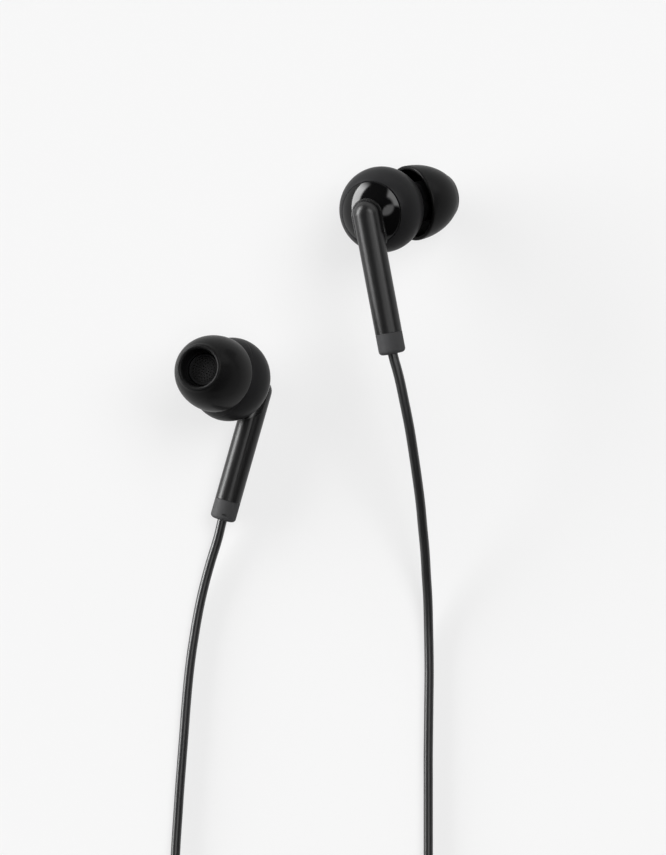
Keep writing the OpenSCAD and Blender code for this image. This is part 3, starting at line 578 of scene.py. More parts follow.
def pile_group():
    """Group for hook-and-loop fabric: fine loops in rows, with their colour and normal."""
    group, given, result = new_group(
        "Loop pile",
        [
            ("Colour", "Color", (0.05, 0.05, 0.05, 1)),
            ("Loop scale", "Float", 4200),
            ("Depth", "Float", 0.00012),
        ],
        [("Colour", "Color"), ("Normal", "Vector")],
    )
    place = add_node(group, "ShaderNodeTexCoord")
    loops = add_node(group, "ShaderNodeTexVoronoi", {"Randomness": 0.7})
    fuzz = add_node(group, "ShaderNodeTexNoise", {"Scale": 9000, "Detail": 3})
    height = add_node(group, "ShaderNodeMath", {1: 0.5}, operation="MULTIPLY_ADD")
    bump = add_node(group, "ShaderNodeBump")
    tone = add_node(group, "ShaderNodeMapRange", {"To Min": 1.5, "To Max": 0.45})
    shade = add_node(group, "ShaderNodeHueSaturation")
    link_sockets(
        group,
        (place.outputs["Object"], loops.inputs["Vector"]),
        (place.outputs["Object"], fuzz.inputs["Vector"]),
        (given.outputs["Loop scale"], loops.inputs["Scale"]),
        (fuzz.outputs["Fac"], height.inputs[0]),
        (loops.outputs["Distance"], height.inputs[2]),
        (height.outputs[0], bump.inputs["Height"]),
        (given.outputs["Depth"], bump.inputs["Distance"]),
        (loops.outputs["Distance"], tone.inputs["Value"]),
        (tone.outputs["Result"], shade.inputs["Value"]),
        (given.outputs["Colour"], shade.inputs["Color"]),
        (shade.outputs["Color"], result.inputs["Colour"]),
        (bump.outputs["Normal"], result.inputs["Normal"]),
    )
    return group


def new_material(name):
    """Makes a material, and gives its node tree and its shader."""
    material = bpy.data.materials.new(name)
    material.use_nodes = True
    return material.node_tree, material.node_tree.nodes["Principled BSDF"]


def moulded(
    name, base, roughness, spread=0.06, tone=0.2, scale=6000, depth=0.01, metallic=0.0, drift=220,
    shine=0.5, coat=0.0,
):
    """A material with the moulded surface group. The depth of its grain is in millimetres."""
    tree, shader = new_material(name)
    shader.inputs["Metallic"].default_value = metallic
    shader.inputs["Specular IOR Level"].default_value = shine
    shader.inputs["Coat Weight"].default_value = coat
    shader.inputs["Coat Roughness"].default_value = 0.12
    shader.inputs["Coat IOR"].default_value = 1.2
    surface = add_node(tree, "ShaderNodeGroup", node_tree=bpy.data.node_groups["Moulded surface"])
    for label, value in (
        ("Colour", (*base, 1)),
        ("Tone spread", tone),
        ("Roughness", roughness),
        ("Roughness spread", spread),
        ("Grain scale", scale),
        ("Grain depth", depth * MM),
        ("Drift scale", drift),
    ):
        surface.inputs[label].default_value = value
    link_sockets(
        tree,
        (surface.outputs["Colour"], shader.inputs["Base Color"]),
        (surface.outputs["Roughness"], shader.inputs["Roughness"]),
        (surface.outputs["Normal"], shader.inputs["Normal"]),
    )


def pile_material(name, base):
    """Hook-and-loop strap."""
    tree, shader = new_material(name)
    shader.inputs["Roughness"].default_value = 0.9
    shader.inputs["Sheen Weight"].default_value = 0.25
    pile = add_node(tree, "ShaderNodeGroup", node_tree=bpy.data.node_groups["Loop pile"])
    pile.inputs["Colour"].default_value = (*base, 1)
    link_sockets(
        tree,
        (pile.outputs["Colour"], shader.inputs["Base Color"]),
        (pile.outputs["Normal"], shader.inputs["Normal"]),
    )


# Inner pieces that keep their CAD shape, with the finish of each
INNER_FINISH = {
    "damper": "damper foam",
    "driver_frame": "frame plastic",
    "yoke": "plated steel",
    "magnet": "plated magnet",
    "top_plate": "plated steel",
    "diaphragm": "amber film",
    "voice_coil": "wound copper",
    "driver_cover": "cover metal",
    "terminal_board": "solder mask",
    "lead_wires": "enamelled wire",
    "cord_crimp": "crimp brass",
}


class EARPHONES_OT_finishes(bpy.types.Operator):
    """Builds the materials"""

    bl_idname = "earphones.finishes"
    bl_label = "Finishes"

    def execute(self, context):
        paint = context.scene.earphone_colours
        moulded_group()
        pile_group()
        moulded(
            "gloss cap", paint.cap, 0.085, spread=0.05, tone=0.1, scale=900, depth=0.0004, drift=140,
            shine=0.25,
        )
        moulded(
            "satin shell", paint.shell, 0.42, spread=0.08, tone=0.25, scale=9000, depth=0.006, shine=0.04,
            coat=0.08,
        )
        moulded("satin stem", paint.stem, 0.34, spread=0.03, tone=0.15, scale=9000, depth=0.003, shine=0.28)
        moulded("cradle plastic", paint.gasket, 0.26, scale=8000, depth=0.003)
        moulded("sleeve rubber", paint.sleeve, 0.6, spread=0.08, tone=0.3, scale=7000, depth=0.01, shine=0.12)
        moulded(
            "soft silicone", paint.silicone, 0.5, spread=0.1, tone=0.3, scale=5000, depth=0.006, shine=0.06,
            coat=0.25,
        )
        moulded("cord jacket", paint.cord, 0.3, spread=0.08, tone=0.3, scale=5000, depth=0.004, shine=0.45)
        moulded("grille", paint.grille, 0.7, tone=0.2, scale=12000, depth=0.002, shine=0.05)
        moulded("gold contact", paint.gold, 0.2, spread=0.1, tone=0.06, scale=9000, depth=0.001, metallic=1)
        moulded("pin insulator", SLOT_COLOUR["insulator"], 0.3, tone=0.1)
        pile_material("tie pile", paint.tie)
        moulded("damper foam", SLOT_COLOUR["damper_foam"], 0.95, tone=0.8, scale=5000, depth=0.08, shine=0.05)
        moulded("frame plastic", SLOT_COLOUR["frame_plastic"], 0.45, tone=0.1, depth=0.005)
        moulded("plated steel", SLOT_COLOUR["steel"], 0.3, spread=0.15, scale=9000, depth=0.002, metallic=1)
        moulded(
            "plated magnet", SLOT_COLOUR["magnet"], 0.14, spread=0.08, scale=7000, depth=0.001, metallic=1
        )
        moulded("amber film", SLOT_COLOUR["film"], 0.25, spread=0.1, tone=0.15, scale=3000, depth=0.002)
        moulded("wound copper", SLOT_COLOUR["copper"], 0.3, spread=0.1, scale=9000, depth=0.01, metallic=1)
        moulded(
            "cover metal", SLOT_COLOUR["cover_metal"], 0.35, spread=0.1, scale=9000, depth=0.002, metallic=1
        )
        moulded("solder mask", SLOT_COLOUR["board"], 0.3, tone=0.35, scale=2500, depth=0.004)
        moulded("enamelled wire", SLOT_COLOUR["enamelled_wire"], 0.25, tone=0.2, depth=0.003)
        moulded("crimp brass", SLOT_COLOUR["crimp_brass"], 0.32, spread=0.15, depth=0.004, metallic=1)
        return {"FINISHED"}


# ---------------------------------------------------------------- stage


def floor_material(levels):
    """Pale floor. Where it is seen it glows up to the background's level, and from below it is clear."""
    tree, shader = new_material("pale floor")
    grey = levels.floor_colour
    shader.inputs["Base Color"].default_value = (grey, grey, grey, 1)
    shader.inputs["Roughness"].default_value = 1
    shader.inputs["Specular IOR Level"].default_value = 0
    path = add_node(tree, "ShaderNodeLightPath")
    seen = add_node(tree, "ShaderNodeMath", operation="ADD")
    either = add_node(tree, "ShaderNodeMath", operation="ADD", use_clamp=True)
    strength = add_node(tree, "ShaderNodeMath", {1: levels.floor_glow}, operation="MULTIPLY")
    glow = add_node(tree, "ShaderNodeEmission")
    total = add_node(tree, "ShaderNodeAddShader")
    facing = add_node(tree, "ShaderNodeNewGeometry")
    clear = add_node(tree, "ShaderNodeBsdfTransparent")
    side = add_node(tree, "ShaderNodeMixShader")
    link_sockets(
        tree,
        (path.outputs["Is Camera Ray"], seen.inputs[0]),
        (path.outputs["Is Glossy Ray"], seen.inputs[1]),
        (seen.outputs[0], either.inputs[0]),
        (path.outputs["Is Transmission Ray"], either.inputs[1]),
        (either.outputs[0], strength.inputs[0]),
        (strength.outputs[0], glow.inputs["Strength"]),
        (shader.outputs[0], total.inputs[0]),
        (glow.outputs[0], total.inputs[1]),
        (facing.outputs["Backfacing"], side.inputs[0]),
        (total.outputs[0], side.inputs[1]),
        (clear.outputs[0], side.inputs[2]),
        (side.outputs[0], tree.nodes["Material Output"].inputs["Surface"]),
    )


def add_surroundings(levels):
    """A dark room with a pale horizon and its soft boxes, as the world."""
    # Azimuth from +X, elevation, half width, half height, then the softness of the sides and of the
    # top and bottom, all in degrees, and the level
    soft_boxes = (
        (160, 9, 16, 10, 28, 7, levels.key),
        (38, 53, 28, 9, 16, 10, levels.fill),
        (-50, 76, 45, 6, 30, 8, levels.strip),
        (58, 12, 25, 6, 20, 6, levels.back),
    )
    horizon_end = math.radians(5)
    horizon_fade = math.radians(7)
    world = bpy.data.worlds.new("studio")
    world.use_nodes = True
    tree = world.node_tree
    group = soft_box_group()
    background = tree.nodes["Background"]
    place = add_node(tree, "ShaderNodeTexCoord")
    axes = add_node(tree, "ShaderNodeSeparateXYZ")
    rise = add_node(tree, "ShaderNodeMath", operation="ARCSINE")
    horizon = add_node(
        tree,
        "ShaderNodeMapRange",
        {
            "From Min": horizon_end,
            "From Max": horizon_end + horizon_fade,
            "To Min": levels.background,
            "To Max": levels.dark,
        },
        interpolation_type="SMOOTHSTEP",
    )
    link_sockets(
        tree,
        (place.outputs["Generated"], axes.inputs[0]),
        (axes.outputs["Z"], rise.inputs[0]),
        (rise.outputs[0], horizon.inputs["Value"]),
    )
    total = horizon.outputs["Result"]
    labels = ("Azimuth", "Elevation", "Half width", "Half height", "Side softness", "Softness")
    for *angles, strength in soft_boxes:
        box = add_node(tree, "ShaderNodeGroup", {"Level": strength}, node_tree=group)
        for label, angle in zip(labels, angles):
            box.inputs[label].default_value = math.radians(angle)
        brighter = add_node(tree, "ShaderNodeMath", operation="MAXIMUM")
        link_sockets(tree, (total, brighter.inputs[0]), (box.outputs["Level"], brighter.inputs[1]))
        total = brighter.outputs[0]
    tree.links.new(total, background.inputs["Color"])
    bpy.context.scene.world = world


class EARPHONES_OT_stage(bpy.types.Operator):
    """Makes the camera, the pale floor and the soft studio light"""

    bl_idname = "earphones.stage"
    bl_label = "Stage"

    def execute(self, context):
        levels = context.scene.earphone_stage
        camera = bpy.data.objects.new("camera", bpy.data.cameras.new("camera"))
        camera.location = (-PLAN.x, -PLAN.y, levels.camera_height)
        camera.data.lens = levels.lens
        camera.data.sensor_width = levels.sensor
        camera.data.clip_start = 0.01
        camera.data.clip_end = 100
        context.scene.collection.objects.link(camera)
        context.scene.camera = camera
        shape = bmesh.new()
        bmesh.ops.create_circle(shape, cap_ends=True, segments=64, radius=levels.floor_size)
        bmesh.ops.translate(shape, verts=shape.verts, vec=(0, 0, -levels.floor_drop))
        mesh = bpy.data.meshes.new("floor")
        shape.to_mesh(mesh)
        shape.free()
        floor_material(levels)
        mesh.materials.append(bpy.data.materials["pale floor"])
        floor = bpy.data.objects.new("floor", mesh)
        context.scene.collection.objects.link(floor)
        add_surroundings(levels)
        context.scene.view_settings.view_transform = "Standard"
        return {"FINISHED"}


# ---------------------------------------------------------------- cords

# Routes on the layout plan, in metres. A branch's route goes on from its sleeve, in line with the stem.
LEFT_ROUTE = (
    (-0.01875, -0.018, 0.00175), (-0.02, -0.022, 0.00135), (-0.0211, -0.026, 0.00105),
    (-0.022, -0.03, 0.00085), (-0.0227, -0.034, 0.0008), (-0.0233, -0.038, 0.0008),
    (-0.02375, -0.042, 0.0008), (-0.0241, -0.046, 0.0008), (-0.0244, -0.05, 0.0008),
    (-0.02475, -0.0545, 0.0008), (-0.0251, -0.059, 0.0008), (-0.0254, -0.0635, 0.0008),
    (-0.0257, -0.068, 0.00085), (-0.0259, -0.0725, 0.00095), (-0.026, -0.077, 0.0011),
)
LEFT_TAIL = (
    (-0.0125, -0.0928, 0.0027), (-0.0093, -0.0938, 0.0025), (-0.0069, -0.0959, 0.0022),
    (-0.0058, -0.0985, 0.002), (-0.0057, -0.1, 0.002), (-0.0057, -0.103, 0.002),
)
RIGHT_ROUTE = (
    (0.01025, 0.008, 0.01295), (0.01115, 0.004, 0.0121), (0.012, 0, 0.01105),
    (0.0127, -0.004, 0.0098), (0.01335, -0.008, 0.0085), (0.01395, -0.012, 0.00705),
    (0.0144, -0.016, 0.0056), (0.01485, -0.02, 0.00425), (0.01515, -0.024, 0.00305),
    (0.01545, -0.028, 0.00205), (0.0156, -0.032, 0.0013), (0.0157, -0.036, 0.0009),
    (0.01575, -0.04, 0.0008), (0.0157, -0.0445, 0.0008), (0.01565, -0.049, 0.0008),
    (0.0156, -0.0535, 0.0008), (0.0156, -0.058, 0.0008), (0.0156, -0.0625, 0.0008),
    (0.0156, -0.067, 0.00085), (0.0156, -0.072, 0.00095), (0.0156, -0.077, 0.0011),
)
RIGHT_TAIL = (
    (0.0029, -0.0921, 0.0027), (-0.0001, -0.0933, 0.0025), (-0.0023, -0.0957, 0.0022),
    (-0.0032, -0.0985, 0.002), (-0.0033, -0.1, 0.002), (-0.0033, -0.103, 0.002),
)
MAIN_ROUTE = ((-0.0045, -0.108, 0.002), (-0.0045, -0.111, 0.002), (-0.0045, -0.116, 0.0019),
              (-0.0045, -0.121, 0.00165))
MAIN_TAIL = (
    (0.0122, -0.1403, 0.0073), (0.0156, -0.1409, 0.0069), (0.0178, -0.1429, 0.0063),
    (0.0182, -0.1456, 0.0055), (0.0168, -0.1482, 0.0046), (0.0142, -0.1494, 0.0038),
    (0.0115, -0.1495, 0.0033), (0.009, -0.1495, 0.003), (-0.0015, -0.1495, 0.003),
)
TIE_ANGLES = {"left": (60,), "right": (120,), "main": (80, -20)}


def on_plan(points):
    """Points of the layout plan in the set's frame."""
    return [Vector(point) - PLAN for point in points]


def winding(cords, layers):
    """The moves of a coil wound to and fro: how far it is wound when each is done, column and layer.

    A rise to the next layer, and the first move after it, come half a blend early, so that the cord
    has left a place before its next turn comes by."""
    early = cords.blend / 2
    wound, column, step = 0, 0, 1
    moves = []
    for layer in range(layers):
        if layer:
            wound += math.tau - early
            moves.append((wound, column, layer))
        for count in range(cords.columns - 1):
            wound += math.tau - (early if layer and not count else 0)
            column += step
            moves.append((wound, column, layer))
        step = -step
    return moves


def coil_points(name, cords, diameter, layers, start, end, way):
    """Points of a wound coil in the set's frame, from one angle to another, in degrees.

    The coil starts in the outer column of the lowest layer, and way is 1 for counterclockwise."""
    knots_per_turn = 24
    low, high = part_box(f"{name}_cord_coil")
    centre = (low + high) / 2
    outer = (high.x - low.x) / 2 - diameter / 2
    base = low.z + diameter / 2
    moves = winding(cords, layers)
    whole_turns = cords.columns * layers - 1
    sweep = whole_turns * math.tau + math.radians((end - start) * way % 360)
    knots = round(sweep / math.tau * knots_per_turn)
    points = []
    for knot in range(knots + 1):
        wound = sweep * knot / knots
        column, layer = 0, 0
        for done, next_column, next_layer in moves:
            share = min(1, max(0, 1 - (done - wound) / cords.blend))
            eased = share * share * (3 - 2 * share)
            if share > 0:
                column += (next_column - column) * eased
                layer += (next_layer - layer) * eased
        angle = math.radians(start) + way * wound
        radius = outer - column * diameter
        points.append(Vector((
            centre.x + radius * math.cos(angle),
            centre.y + radius * math.sin(angle),
            base + layer * diameter,
        )))
    return points


def stem_points(context, side):
    """Points on a stem's axis, from the cord's end inside it to the sleeve's end."""
    sizes = context.scene.earphone_bud
    cords = context.scene.earphone_cords
    place = bud_place(side, context.scene.earphone_nozzle) @ along_stem(sizes)
    sleeve_end = sizes.stem_length + sizes.sleeve_length
    stations = (cords.cord_end, sizes.stem_length / 2, sizes.stem_length, sleeve_end)
    return [place @ Vector((0, 0, station)) for station in stations]


class EARPHONES_OT_cords(bpy.types.Operator):
    """Makes the two branch cords and the main cord, each as one line from end to end"""

    bl_idname = "earphones.cords"
    bl_label = "Cords"

    def execute(self, context):
        cords = context.scene.earphone_cords
        for side, route, tail, start, way in (
            ("left", LEFT_ROUTE, LEFT_TAIL, 180, 1),
            ("right", RIGHT_ROUTE, RIGHT_TAIL, 0, -1),
        ):
            stem = stem_points(context, side)
            coil = coil_points(side, cords, cords.branch_diameter, cords.branch_layers, start, 270, way)
            points = stem + on_plan(route) + coil + on_plan(tail)
            line = add_line(
                f"{side}_branch_lead", points, cords.branch_diameter / 2, "cord jacket",
                f"{side}_cord", f"{side}_cord_coil",
            )
            line["exit"] = stem[-1]
        coil = coil_points("main", cords, cords.main_diameter, cords.main_layers, 180, 270, 1)
        points = on_plan(MAIN_ROUTE) + coil + on_plan(MAIN_TAIL)
        line = add_line(
            "main_lead", points, cords.main_diameter / 2, "cord jacket", "main_cord", "main_cord_coil"
        )
        line["exit"] = on_plan(MAIN_ROUTE)[1]
        return {"FINISHED"}


def tie_shape(context, name, diameter, layers, angle):
    """One strap round a coil, in the set's frame: a loop with round corners, swept along the turns."""
    cords = context.scene.earphone_cords
    low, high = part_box(f"{name}_cord_coil")
    middle = (high.x - low.x) / 2 - cords.columns * diameter / 2
    half_width = cords.columns * diameter / 2 + cords.tie_gap
    top = low.z + layers * diameter + cords.tie_gap
    sweep = cords.tie_width / middle
    shape = bmesh.new()
    loops = []
    for grow in (0, cords.tie_thickness):
        corner = diameter / 2 + grow
        left, right = middle - half_width - grow, middle + half_width + grow
        bottom = cords.tie_thickness - grow
        outline = (
            arc(right - corner, bottom + corner, corner, -90, 0, 6)
            + arc(right - corner, top + grow - corner, corner, 0, 90, 6)
            + arc(left + corner, top + grow - corner, corner, 90, 180, 6)
            + arc(left + corner, bottom + corner, corner, 180, 270, 6)
        )
        points = [shape.verts.new((radius, 0, height)) for radius, height in outline]
        edges = [shape.edges.new((points[i - 1], points[i])) for i in range(len(points))]
        made = bmesh.ops.spin(
            shape, geom=points + edges, cent=(0, 0, 0), axis=(0, 0, 1), angle=sweep, steps=8, use_merge=False
        )
        last = [item for item in made["geom_last"] if isinstance(item, bmesh.types.BMEdge)]
        loops.append((edges, last))
    for inner, outer in zip(*loops):
        bmesh.ops.bridge_loops(shape, edges=inner + outer)
    bmesh.ops.remove_doubles(shape, verts=shape.verts, dist=MERGE)
    bmesh.ops.recalc_face_normals(shape, faces=shape.faces)
    soften(shape, cords.tie_thickness / 4, sharper_than=60, segments=2)
    centre = Vector((low.x + high.x, low.y + high.y, 0)) / 2
    turned = Matrix.Rotation(math.radians(angle) - sweep / 2, 4, "Z")
    return placed(shape, Matrix.Translation(centre) @ turned)


class EARPHONES_OT_ties(bpy.types.Operator):
    """Makes the hook-and-loop straps that hold the coils"""

    bl_idname = "earphones.ties"
    bl_label = "Coil ties"

    def execute(self, context):
        cords = context.scene.earphone_cords
        for name, diameter, layers, node in (
            ("left", cords.branch_diameter, cords.branch_layers, "left_coil_tie"),
            ("right", cords.branch_diameter, cords.branch_layers, "right_coil_tie"),
            ("main", cords.main_diameter, cords.main_layers, "main_coil_ties"),
        ):
            whole = bmesh.new()
            for angle in TIE_ANGLES[name]:
                strap = tie_shape(context, name, diameter, layers, angle)
                mesh = bpy.data.meshes.new("strap")
                strap.to_mesh(mesh)
                strap.free()
                whole.from_mesh(mesh)
                bpy.data.meshes.remove(mesh)
            add_piece(f"{name}_strap", whole, "tie pile", node)
        return {"FINISHED"}


class EARPHONES_OT_splitter(bpy.types.Operator):
    """Makes the two halves of the splitter"""

    bl_idname = "earphones.splitter"
    bl_label = "Splitter"

    def execute(self, context):
        sizes = context.scene.earphone_splitter
        cords = context.scene.earphone_cords
        gap = context.scene.earphone_bud.fit_gap
        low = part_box("splitter_bottom")[0]
        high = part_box("splitter_top")[1]
        middle = Matrix.Translation((low + high) / 2)
        for name, node, cut_off in (
            ("splitter_lower_half", "splitter_bottom", (0, 0, 1)),
            ("splitter_upper_half", "splitter_top", (0, 0, -1)),
        ):
            shape = self.half(sizes, cords, gap, high - low, cut_off)
            add_piece(name, placed(shape, middle), "satin stem", node)
        return {"FINISHED"}

    def half(self, sizes, cords, gap, size, cut_off):
        """Half of a rounded block, with its channels for the cords and its share of the cavity"""
        cord_in_cavity = 1 * MM
        shape = bmesh.new()
        bmesh.ops.create_cube(shape, size=1, matrix=Matrix.Diagonal((*size, 1)))
        upright = [e for e in shape.edges if abs(e.verts[0].co.z - e.verts[1].co.z) > size.z / 2]
        round_edges(shape, upright, sizes.corner, segments=8)
        soften(shape, sizes.edge, sharper_than=60, segments=5)
        rim = trimmed(shape, (0, 0, 0), cut_off)
        round_edges(shape, rim, sizes.parting, segments=2)
        along = Matrix.Rotation(-math.pi / 2, 4, "X")
        for across in (-sizes.pitch / 2, sizes.pitch / 2):
            channel = rod(cords.branch_diameter / 2 + gap, 0, size.y, steps=48)
            shape = cut(shape, placed(channel, Matrix.Translation((across, 0, 0)) @ along))
        channel = rod(cords.main_diameter / 2 + gap, -size.y, 0, steps=48)
        shape = cut(shape, placed(channel, along))
        end_wall = sizes.grip - cord_in_cavity
        room = size - 2 * Vector((sizes.wall, end_wall, sizes.roof))
        cavity = bmesh.new()
        bmesh.ops.create_cube(cavity, size=1, matrix=Matrix.Diagonal((*room, 1)))
        return cut(shape, cavity)


class EARPHONES_OT_plug(bpy.types.Operator):
    """Makes the plug: its contacts, insulators, housing and strain relief"""

    bl_idname = "earphones.plug"
    bl_label = "Plug"

    def execute(self, context):
        sizes = context.scene.earphone_plug
        cord_radius = context.scene.earphone_cords.main_diameter / 2
        gap = context.scene.earphone_bud.fit_gap
        low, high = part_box("plug_housing")
        front = Vector((low.x, (low.y + high.y) / 2, (low.z + high.z) / 2))
        place = Matrix.Translation(front) @ Matrix.Rotation(-math.pi / 2, 4, "Y")
        bore = cord_radius + gap
        neck = sizes.neck_radius + gap
        back = -sizes.housing_length
        self.housing(sizes, place, bore, neck, back)
        self.relief(sizes, place, bore, back)
        self.contacts(sizes, place)
        return {"FINISHED"}

    def housing(self, sizes, place, bore, neck, back):
        """Moulded housing with a shallow waist for the fingers"""
        inside = sizes.housing_radius - sizes.housing_wall
        end_wall = 1 * MM
        edge = 0.4 * MM
        waist = 0.18 * MM
        grip_start, grip_end = back + 2.5 * MM, -3 * MM
        steps = 16
        grip = []
        for step in range(steps + 1):
            share = step / steps
            dip = waist * math.sin(math.pi * share) ** 2
            grip.append((sizes.housing_radius - dip, grip_end + (grip_start - grip_end) * share))
        shape = revolve(
            [(neck, 0)]
            + arc(sizes.housing_radius - edge, -edge, edge, 90, 0, 6)
            + grip
            + arc(sizes.housing_radius - edge, back + edge, edge, 0, -90, 6)
            + [(bore, back), (bore, back + end_wall), (inside, back + end_wall),
               (inside, -sizes.housing_wall), (neck, -sizes.housing_wall)],
            closed=True,
        )
        add_piece("plug_grip", placed(shape, place), "satin stem", "plug_housing")

    def relief(self, sizes, place, bore, back):
        """Tapered strain relief with round grooves"""
        grooves = 4
        thick, thin, deep, half = 2.3 * MM, 1.6 * MM, 0.25 * MM, 0.34 * MM
        edge = 0.15 * MM
        pitch = sizes.relief_length / (grooves + 1)
        outside = [(thin - edge, 0), (thin, edge)]
        for groove in range(1, grooves + 1):
            for share in (-1, -0.7, -0.35, 0, 0.35, 0.7, 1):
                height = groove * pitch + share * half
                dip = deep * (1 + math.cos(math.pi * share)) / 2
                outside.append((thin + (thick - thin) * height / sizes.relief_length - dip, height))
        outside.append((thick, sizes.relief_length))
        shape = revolve([(bore, sizes.relief_length), (bore, 0)] + outside, closed=True)
        at = place @ Matrix.Translation((0, 0, back - sizes.relief_length))
        add_piece("plug_strain_relief", placed(shape, at), "sleeve rubber", "plug_relief")

    def contacts(self, sizes, place):
        """Gold contacts and the black rings between them, each on a tube inside the one before it"""
        pin, neck, wall = sizes.pin_radius, sizes.neck_radius, sizes.housing_wall
        edge = 0.06 * MM
        sleeve_bore, flange_radius, flange_depth = 1.15 * MM, 2.2 * MM, 4 * MM
        flange_back = -flange_depth - wall
        first = sizes.sleeve
        second = first + sizes.insulator
        third = second + sizes.ring
        fourth = third + sizes.insulator
        outline = [
            (sleeve_bore, flange_back), (flange_radius, flange_back), (flange_radius, -wall),
            (neck, -wall), (neck, 0), (pin, 0), (pin, first - edge), (pin - edge, first),
            (sleeve_bore, first)]
        shape = placed(revolve(outline, closed=True, steps=64), place)
        add_piece("plug_sleeve", shape, "gold contact", "plug_sleeve_contact")
        # The inner and outer radius of each ring's tube and the length of its tail, in millimetres, then
        # where the ring starts and ends on the pin
        for name, finish, node, inner, outer, tail, start, end in (
            ("plug_ring_outer", "pin insulator", "plug_outer_insulator", 0.95, 1.1, 5.5, first, second),
            ("plug_ring", "gold contact", "plug_ring_contact", 0.7, 0.9, 6.5, second, third),
            ("plug_ring_inner", "pin insulator", "plug_inner_insulator", 0.5, 0.65, 7, third, fourth),
        ):
            inner, outer, tail = inner * MM, outer * MM, tail * MM
            face = [(pin - edge / 2, (start + end) / 2)]
            if finish == "gold contact":
                face = [(pin, start + edge), (pin, end - edge)]
            outline = [(inner, -tail), (outer, -tail), (outer, start), (pin - edge, start), *face,
                       (pin - edge, end), (inner, end)]
            add_piece(name, placed(revolve(outline, closed=True, steps=64), place), finish, node)
        core, core_tail = 0.45 * MM, 8 * MM
        shoulder = fourth + 0.4 * MM
        groove_radius, groove, groove_edge = 1.15 * MM, fourth + 1.1 * MM, 0.1 * MM
        bulb_radius, bulb, bulb_edge = 1.6 * MM, fourth + 2 * MM, 0.06 * MM
        nose = fourth + sizes.point
        outline = [
            (0, -core_tail), (core, -core_tail), (core, fourth), (pin - edge, fourth), (pin, fourth + edge),
            (pin, shoulder), (groove_radius + groove_edge, groove - 0.15 * MM), (groove_radius, groove),
            (groove_radius + groove_edge, groove + 0.15 * MM),
            (bulb_radius - bulb_edge, bulb - 0.15 * MM), (bulb_radius, bulb),
            (bulb_radius - bulb_edge, bulb + 0.25 * MM), (0.6 * MM, nose - 0.2 * MM),
            (0.35 * MM, nose - 0.04 * MM), (0, nose)]
        shape = placed(revolve(outline, steps=64), place)
        add_piece("plug_point", shape, "gold contact", "plug_tip_contact")


# ---------------------------------------------------------------- buds


def stem_solid(sizes, grow):
    """Outside of the stem with its round elbow and its neck, grown by an amount, in the bud's frame."""
    radius = sizes.stem_radius + grow
    outline = arc(0, 0, radius, -90, 0, 24) + [(radius, sizes.stem_length), (0, sizes.stem_length)]
    tube = placed(revolve(outline), along_stem(sizes))
    neck_end = -sizes.cap_seat + sizes.fit_gap
    neck = rod(sizes.neck_radius + grow, -sizes.body_depth / 2, neck_end)
    return joined(tube, neck)


class EARPHONES_OT_caps(bpy.types.Operator):
    """Makes the glossy caps and the cradles between them and the stems"""

    bl_idname = "earphones.caps"
    bl_label = "Caps and gaskets"

    def execute(self, context):
        sizes = context.scene.earphone_bud
        nozzle = context.scene.earphone_nozzle
        half = sizes.body_depth / 2
        rim = oval_height(sizes.body_radius, half, sizes.cap_radius)
        for side in SIDES:
            place = bud_place(side, nozzle)
            outline = oval_arc(sizes.body_radius, half, -half, -rim, 40)
            outline += [(sizes.cap_radius, -sizes.cap_seat), (0, -sizes.cap_seat)]
            shape = revolve(outline, steps=FINE_STEPS)
            soften(shape, sizes.edge_round)
            shape = cut(shape, stem_solid(sizes, sizes.fit_gap))
            add_piece(f"{side}_cap_dome", placed(shape, place), "gloss cap", f"{side}_outer_cap")
            cradle = placed(self.cradle(sizes), place)
            add_piece(f"{side}_stem_cradle", cradle, "cradle plastic", f"{side}_stem_gasket")
        return {"FINISHED"}

    def cradle(self, sizes):
        """Thin trough on the body's side of the elbow, open above the stem's middle, with a slanted end"""
        end_slant = 1.1
        outer, gap = sizes.stem_radius + sizes.gasket_wall, sizes.fit_gap / 2
        outline = arc(0, 0, outer, -90, 0, 32) + [(outer, sizes.gasket_length), (0, sizes.gasket_length)]
        shape = revolve(outline, steps=FINE_STEPS)
        trimmed(shape, (0, -sizes.gasket_rise, 0), (0, -1, 0))
        trimmed(shape, (0, -sizes.gasket_rise, sizes.gasket_end), (0, -1, end_slant))
        soften(shape, sizes.gasket_edge)
        body_radius, half = sizes.body_radius + gap, sizes.body_depth / 2 + gap
        body = revolve(oval_arc(body_radius, half, -half, half, 60), steps=FINE_STEPS)
        shape = cut(placed(shape, along_stem(sizes)), body)
        return cut(shape, stem_solid(sizes, gap))


